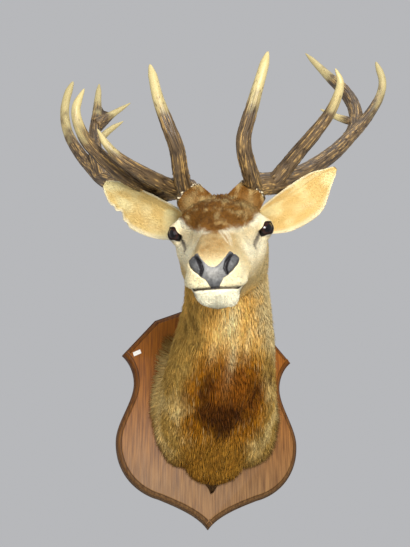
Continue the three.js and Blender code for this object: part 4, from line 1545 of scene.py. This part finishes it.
def even_line(line, spacing):
    """Points at even spacing along the smooth curve through a line's points, and its length."""
    dense = smooth_through(line, False, np.linspace(0, 1, 60 * len(line)))
    gaps = np.linalg.norm(np.diff(dense, axis=0), axis=1)
    reach = np.concatenate([[0], np.cumsum(gaps)])
    count = max(LEAST_RINGS, int(reach[-1] / spacing))
    places = np.linspace(0, reach[-1], count)
    return np.stack([np.interp(places, reach, dense[:, i]) for i in range(3)], 1), reach[-1]


def carried_frames(line):
    """Two directions across a line at each point, carried along it without twisting."""
    tangent = unit(np.gradient(line, axis=0))
    sideways = [unit(np.cross(tangent[0], [0.3, 0.5, 0.8]))]
    for direction in tangent[1:]:
        sideways.append(unit(sideways[-1] - direction * (sideways[-1] @ direction)))
    return np.array(sideways), np.cross(tangent, sideways)


def branch_grid(kind, line, radii, side, seed):
    """A branch with its grooves and pearls, brown below and rubbed pale toward the tip."""
    centres, length = even_line(from_head(mirrored(line, side)), BRANCH_STEP)
    sideways, other = carried_frames(centres)
    t = np.linspace(0, 1, len(centres))[:, None]
    root, half, tip = radii
    radius = root * (1 - t) * (1 - 2 * t) + 4 * half * t * (1 - t) + tip * t * (2 * t - 1)
    angle = turns(BRANCH_TURNS)[None, :]
    across, other_way = np.cos(angle) * GRAIN_RADIUS + 0 * t, np.sin(angle) * GRAIN_RADIUS + 0 * t
    place = np.stack([across, other_way, t * length + 0 * angle], -1)
    tipward = t + 0.07 * noise(place, 16, seed) + 0.04 * noise(place, 5, seed + 6, (1, 1, 0.15))
    ivory = smoothstep(IVORY_FROM[kind] - 0.09, IVORY_FROM[kind] + 0.12, tipward)
    rough = (1 - ivory) * smoothstep(0, 0.03, t)
    grain = noise(place, 2.4, seed + 1, (1, 1, 0.06))
    fine = noise(place, 1.7, seed + 2, (1, 1, 0.25))
    groove = smoothstep(0.24, 0.0, np.abs(grain))
    pearl = smoothstep(0.3, 0.8, noise(place, 3.4, seed + 3, (1, 1, 0.8))) * smoothstep(0.5, 0.05, t)
    bulge = rough * (0.5 - 1.2 * groove + 0.4 * fine + 1.3 * pearl) * np.clip(radius / 11, 0.25, 1.1)
    bulge = bulge + 0.5 * noise(place, 22, seed + 4, (1, 1, 0.5)) * radius / 12
    # The last few millimetres close into a rounded tip.
    closing = np.sqrt(np.clip((1 - t) * length / TIP_LENGTHS.get(kind, TIP_LENGTH), 0, 1))
    full = (radius + bulge) * closing
    grid = centres[:, None] + spokes(sideways[:, None], other[:, None], angle) * full[..., None]
    blotch = noise(place, 26, seed + 5, (1, 1, 0.3))
    stain = noise(place, 3.2, seed + 8)
    brown = layered(
        ANTLER_BROWN,
        # Golden ridges: partly the horn's own pale ridges, partly painted highlight on them.
        (ANTLER_GOLD, 0.85 * smoothstep(0.5, 0.8, np.abs(grain) + 0.5 * fine)),
        (ANTLER_GOLD, 0.3 * pearl),
        (ANTLER_DARK, 0.85 * groove),
        (ANTLER_DARK, 0.45 * smoothstep(0.0, 0.7, blotch)),
    )
    pale = layered(
        IVORY,
        (ANTLER_GOLD, 0.5 * smoothstep(0.0, 0.8, fine) * (1 - t * 0.6)),
        (ANTLER_BROWN, 0.8 * smoothstep(0.55, 0.75, stain) * smoothstep(0.97, 0.8, t)),
    )
    return grid, mix(brown, pale, ivory), "capped", None


def burr_grid(side, seed):
    """The pearled ring round the antler's foot."""
    centre, axis, first, second = burr_axes(side)
    u, v = turns(BURR_TURNS)[:, None], turns(BEAD_TURNS)[None, :]
    place = np.stack([np.cos(u) * 26 + 0 * v, np.sin(u) * 26 + 0 * v, np.sin(v) * 4 + 0 * u], -1)
    beads = smoothstep(-0.2, 0.7, noise(place + 4 * np.cos(v)[..., None], 3.6, seed))
    minor = BURR["bead"] * (0.75 + 0.45 * beads)
    ring = BURR["radius"] + 1.2 * noise(place, 12, seed + 1)
    out, rise = ring + minor * np.cos(v), BURR_RISE + 0.8 * minor * np.sin(v)
    grid = centre + spokes(first, second, u) * out[..., None] + axis * rise[..., None]
    colour = layered(
        ANTLER_BROWN,
        (BURR_BEAD, smoothstep(0.35, 0.9, beads)),
        (ANTLER_DARK, 0.8 * smoothstep(0.35, 0.0, beads)),
    )
    return grid, colour, "joined", None


# Brown webs in the forks of the crowns: two branches, each with the stretch that the web spans, and
# the web's thickness.
WEBS = {
    "right": [(("crown", 0.50, 0.80), ("crown_upper_prong", 0.12, 0.48), 6.5),
              (("beam", 0.50, 0.60), ("crown", 0.06, 0.30), 7.0)],
    "left": [(("crown", 0.10, 0.34), ("crown_lower_prong", 0.05, 0.4), 6.0),
             (("beam", 0.60, 0.70), ("crown", 0.06, 0.28), 7.0)],
}
WEB_ROWS = 26
WEB_TURNS = 40


def web_grid(branches, side, stretches, thickness, seed):
    """A thin sheet of horn in the fork between two branches, thick at the fork and bitten out beyond."""
    edges = [
        smooth_through(from_head(mirrored(branches[kind][0], side)), False, np.linspace(start, end, WEB_ROWS))
        for kind, start, end in stretches
    ]
    share = np.linspace(0, 1, WEB_ROWS)[:, None]
    middle = (edges[0] + edges[1]) / 2
    half = (edges[1] - edges[0]) / 2
    normal = unit(np.cross(half, np.gradient(middle, axis=0)))
    turn = turns(WEB_TURNS)[None, :]
    sag = (middle[0] - middle[-1])[None, None, :] * (0.45 * share**2 * np.sin(turn) ** 2)[..., None]
    thick = normal[:, None] * (thickness * (1 - 0.75 * share) * np.sin(turn))[..., None]
    grid = middle[:, None] + half[:, None] * np.cos(turn)[..., None] + thick + sag
    colour = mix(ANTLER_BROWN, ANTLER_DARK, 0.7 * smoothstep(-0.2, 0.6, noise(grid, 4, seed)))
    return grid, colour, "capped", None


def build_antler(name, branches, side):
    seed = 100 + 50 * side
    for number, (kind, branch) in enumerate(branches.items()):
        grids = [branch_grid(kind, *branch, side, seed + 7 * number)]
        nodes = [f"antler_{name}_{kind}"]
        if kind == "beam":
            grids.append(burr_grid(side, seed + 90))
            nodes.append(f"antler_{name}_outer_tine")
        if kind == "crown":
            grids += [web_grid(branches, side, web[:2], web[2], seed + 60) for web in WEBS[name]]
        points, quads, triangles, shades, _ = join_grids(grids)
        piece = make_piece(f"{nodes[0]}_horn", finishes["antler"], points, [quads, triangles], shades)
        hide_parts(*nodes)


for word, side in SIDES.items():
    build_antler(word, ANTLERS[word], side)

# ------------------------------------------------------------------ shield

# The right half of the outline: straight to the horn, and from there in bends, each with the ways
# in which its curve leaves the one corner and arrives at the other.
SHIELD_CORNERS = {"peak": (0, 259), "shoulder": (126, 206), "horn": (199, 120), "waist": (170, 55),
                  "widest": (206, -72), "heel": (109, -196), "tip": (0, -258)}
SHIELD_BENDS = [
    ("horn", (-19, -16), (0, 24), "waist"),
    ("waist", (0, -40), (0, 42), "widest"),
    ("widest", (0, -68), (51, 13), "heel"),
    ("heel", (-43, -16), (20, 28), "tip"),
]
# The moulded edge, from the back: distance in from the outline, height off the wall, and shade, which is
# painted shade: darker on the moulding than on the face, darkest on the outer side and in the grooves.
MOULDING = [
    (0.4, 0, 0.3), (0, 0.6, 0.3), (0, 9.5, 0.3), (0.5, 10.6, 0.3), (1.6, 11.2, 0.3), (2.6, 11.3, 0.33),
    (2.9, 12.2, 0.33), (3.4, 14.4, 0.6), (4.6, 16.8, 0.6), (6.4, 18.8, 0.6), (8.6, 19.9, 0.6),
    (10.6, 20.1, 0.33), (11.0, 20.3, 0.33), (11.3, 21.3, 0.6), (12.0, 21.9, 1.0), (13.0, 22.0, 1.0),
]
STRAIGHT_STEPS, BEND_STEPS = 8, 24  # in each straight and each bend of half the outline
MITRE_LIMIT = 0.45  # keeps the sharpest corners from running too far in
SHARP_ANGLE = 35  # degrees between faces that meet in a crisp edge
WOOD_TOP_LIGHT = {"tint": (1.2, 0.76, 0.08, 1), "from": -0.17, "to": 0.10}  # painted light: warmer and more orange toward the top of the board; heights in metres
LABEL_CORNERS = [(-176.4, 124.7), (-160.2, 132.8), (-156.8, 124.0), (-173.4, 115.8)]  # x and z
LABEL_LIFTS = (0.25, 0.02)  # of its front and its back off the board


def shield_outline():
    corners = {name: np.array(place, float) for name, place in SHIELD_CORNERS.items()}
    half = [corners["peak"]]
    for name in ("shoulder", "horn"):
        start, end = half[-1], corners[name]
        half.extend(start + (end - start) * k / STRAIGHT_STEPS for k in range(1, STRAIGHT_STEPS + 1))
    for start, leaving, arriving, end in SHIELD_BENDS:
        p0, p3 = corners[start], corners[end]
        p1, p2 = p0 + leaving, p3 + arriving
        for share in np.linspace(0, 1, BEND_STEPS + 1)[1:]:
            half.append((1 - share) ** 3 * p0 + 3 * share * (1 - share) ** 2 * p1
                        + 3 * share**2 * (1 - share) * p2 + share**3 * p3)
    other = [point * np.array([-1, 1]) for point in half[1:-1][::-1]]
    return np.array(half + other)


def inset(outline, distance):
    """The outline moved inward, its corners mitred."""
    before = unit(outline - np.roll(outline, 1, 0))
    after = unit(np.roll(outline, -1, 0) - outline)
    inward_before, inward_after = (np.stack([way[:, 1], -way[:, 0]], 1) for way in (before, after))
    bisector = unit(inward_before + inward_after)
    stretch = 1 / np.maximum(np.sum(bisector * inward_after, 1), MITRE_LIMIT)
    return outline + bisector * (distance * stretch)[:, None]


def wood_finish():
    """Upright grain with fine pores, with painted light that makes it warmer toward the top of the board, and
    the moulding's painted shade.
    """
    finish = Finish("wood", Roughness=0.46, Specular_IOR_Level=0.22)
    grain = finish.noise(270, 6.0, (1.0, 1.0, 0.06))
    pores = finish.noise(520, 2.0, (1.0, 1.0, 0.03))
    broad = finish.noise(9, 2.0, (1.0, 1.0, 0.2))
    timber = finish.add("ValToRGB", "Color", {"Fac": grain})
    stops = timber.node.color_ramp.elements
    for stop, position, colour in zip(stops, (0.3, 0.72), (WOOD_DARK, WOOD_LIGHT)):
        stop.position, stop.color = position, (*colour, 1)
    # Painted light: the wood is tinted warmer and more orange toward the top of the board.
    height = finish.add("SeparateXYZ", "Z", {"Vector": finish.place()})
    upward = finish.spread(height, 0.0, 1.0, WOOD_TOP_LIGHT["from"], WOOD_TOP_LIGHT["to"])
    warm = finish.multiply(timber, WOOD_TOP_LIGHT["tint"], upward)
    levels = {0: finish.spread(pores, 0.72, 1.16), 1: finish.spread(broad, 0.78, 1.18)}
    level = finish.add("Math", "Value", levels, operation="MULTIPLY")
    lit_shaded_wood = finish.multiply(finish.multiply(warm, finish.grey(level)), finish.shade())
    finish.shader(Base_Color=lit_shaded_wood, Roughness=finish.spread(pores, 0.36, 0.52))
    finish.bump(pores, 0.25, 0.0006)
    return finish.material


def build_shield():
    outline = shield_outline()
    count = len(outline)
    rings, shades = [], []
    for distance, height, shade in MOULDING:
        ring = inset(outline, distance)
        rings.append(np.stack([ring[:, 0], np.full(count, -height), ring[:, 1]], 1))
        shades.append(np.full((count, 3), shade))
    points = np.concatenate(rings)
    sides = grid_quads(len(rings), count)
    back = np.arange(count)
    faces = [sides, np.array([back + len(points) - count, back[::-1]])]
    if inside_out(sides, points):
        faces = [group[:, ::-1] for group in faces]
    board = make_piece("shield_board", wood_finish(), points, faces, np.concatenate(shades))
    board.data.set_sharp_from_angle(angle=math.radians(SHARP_ANGLE))
    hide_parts("shield")


def build_label():
    """A small blank paper sticker on the shield."""
    points = np.array([(x, BOARD_FRONT - lift, z) for lift in LABEL_LIFTS for x, z in LABEL_CORNERS])
    quads = [(0, 1, 2, 3), (7, 6, 5, 4)] + [(i, i + 4, (i + 1) % 4 + 4, (i + 1) % 4) for i in range(4)]
    quads = np.array(quads)
    if inside_out(quads, points):
        quads = quads[:, ::-1]
    paper = Finish("paper", Roughness=0.8, Base_Color=(0.86, 0.85, 0.80, 1)).material
    make_piece("blank_label", paper, points, [quads], smooth=False)


build_shield()
build_label()

# ------------------------------------------------------------------ light, floor and camera

FLOOR = {"reach": 6.0, "level": -1.85}
CAMERA = {"place": (-0.355, -1.800, -0.332), "yaw": 11.0, "pitch": 20.0, "lens": 52.98, "sensor": 36}
WORLD = {"colour": (0.86, 0.87, 0.9, 1), "strength": 0.55}
# Place, aim, size, power and colour.
LIGHTS = {
    "key": ((-0.02, -2.25, 0.0), (-0.05, -0.4, 0.05), 0.6, 42, (1.0, 0.98, 0.95)),
    "fill": ((-1.5, -1.9, -0.1), (0, -0.3, 0.05), 1.6, 13, (0.98, 0.98, 1.0)),
    "top": ((0.3, -1.0, 1.9), (0, -0.35, 0.1), 1.2, 8, (1, 1, 1)),
}


def place_in_scene(name, data):
    thing = bpy.data.objects.new(name, data)
    bpy.context.scene.collection.objects.link(thing)
    return thing


def add_light(name, place, aim, size, power, colour):
    data = bpy.data.lights.new(name, "AREA")
    data.size, data.energy, data.color = size, power, colour
    light = place_in_scene(name, data)
    light.location = place
    light.rotation_euler = (Vector(aim) - Vector(place)).to_track_quat("-Z", "Y").to_euler()


def add_floor():
    mesh = bpy.data.meshes.new("floor")
    ways = [(-1, -1), (1, -1), (1, 1), (-1, 1)]
    corners = [(x * FLOOR["reach"], y * FLOOR["reach"], FLOOR["level"]) for x, y in ways]
    mesh.from_pydata(corners, [], [(0, 1, 2, 3)])
    mesh.materials.append(Finish("floor", Roughness=0.9, Base_Color=(0.75, 0.75, 0.74, 1)).material)
    floor = place_in_scene("floor", mesh)


def add_camera():
    data = bpy.data.cameras.new("camera")
    data.lens, data.sensor_width = CAMERA["lens"], CAMERA["sensor"]
    camera = place_in_scene("camera", data)
    yaw, pitch = math.radians(CAMERA["yaw"]), math.radians(CAMERA["pitch"])
    aim = Vector((math.sin(yaw) * math.cos(pitch), math.cos(yaw) * math.cos(pitch), math.sin(pitch)))
    camera.location = CAMERA["place"]
    camera.rotation_euler = aim.to_track_quat("-Z", "Y").to_euler()
    bpy.context.scene.camera = camera


def add_world():
    world = bpy.data.worlds.new("studio")
    world.use_nodes = True
    background = world.node_tree.nodes["Background"]
    background.inputs["Color"].default_value = WORLD["colour"]
    background.inputs["Strength"].default_value = WORLD["strength"]
    bpy.context.scene.world = world


add_floor()
add_camera()
add_world()
for name, light in LIGHTS.items():
    add_light(name, *light)
bpy.context.scene.view_settings.view_transform = "Standard"
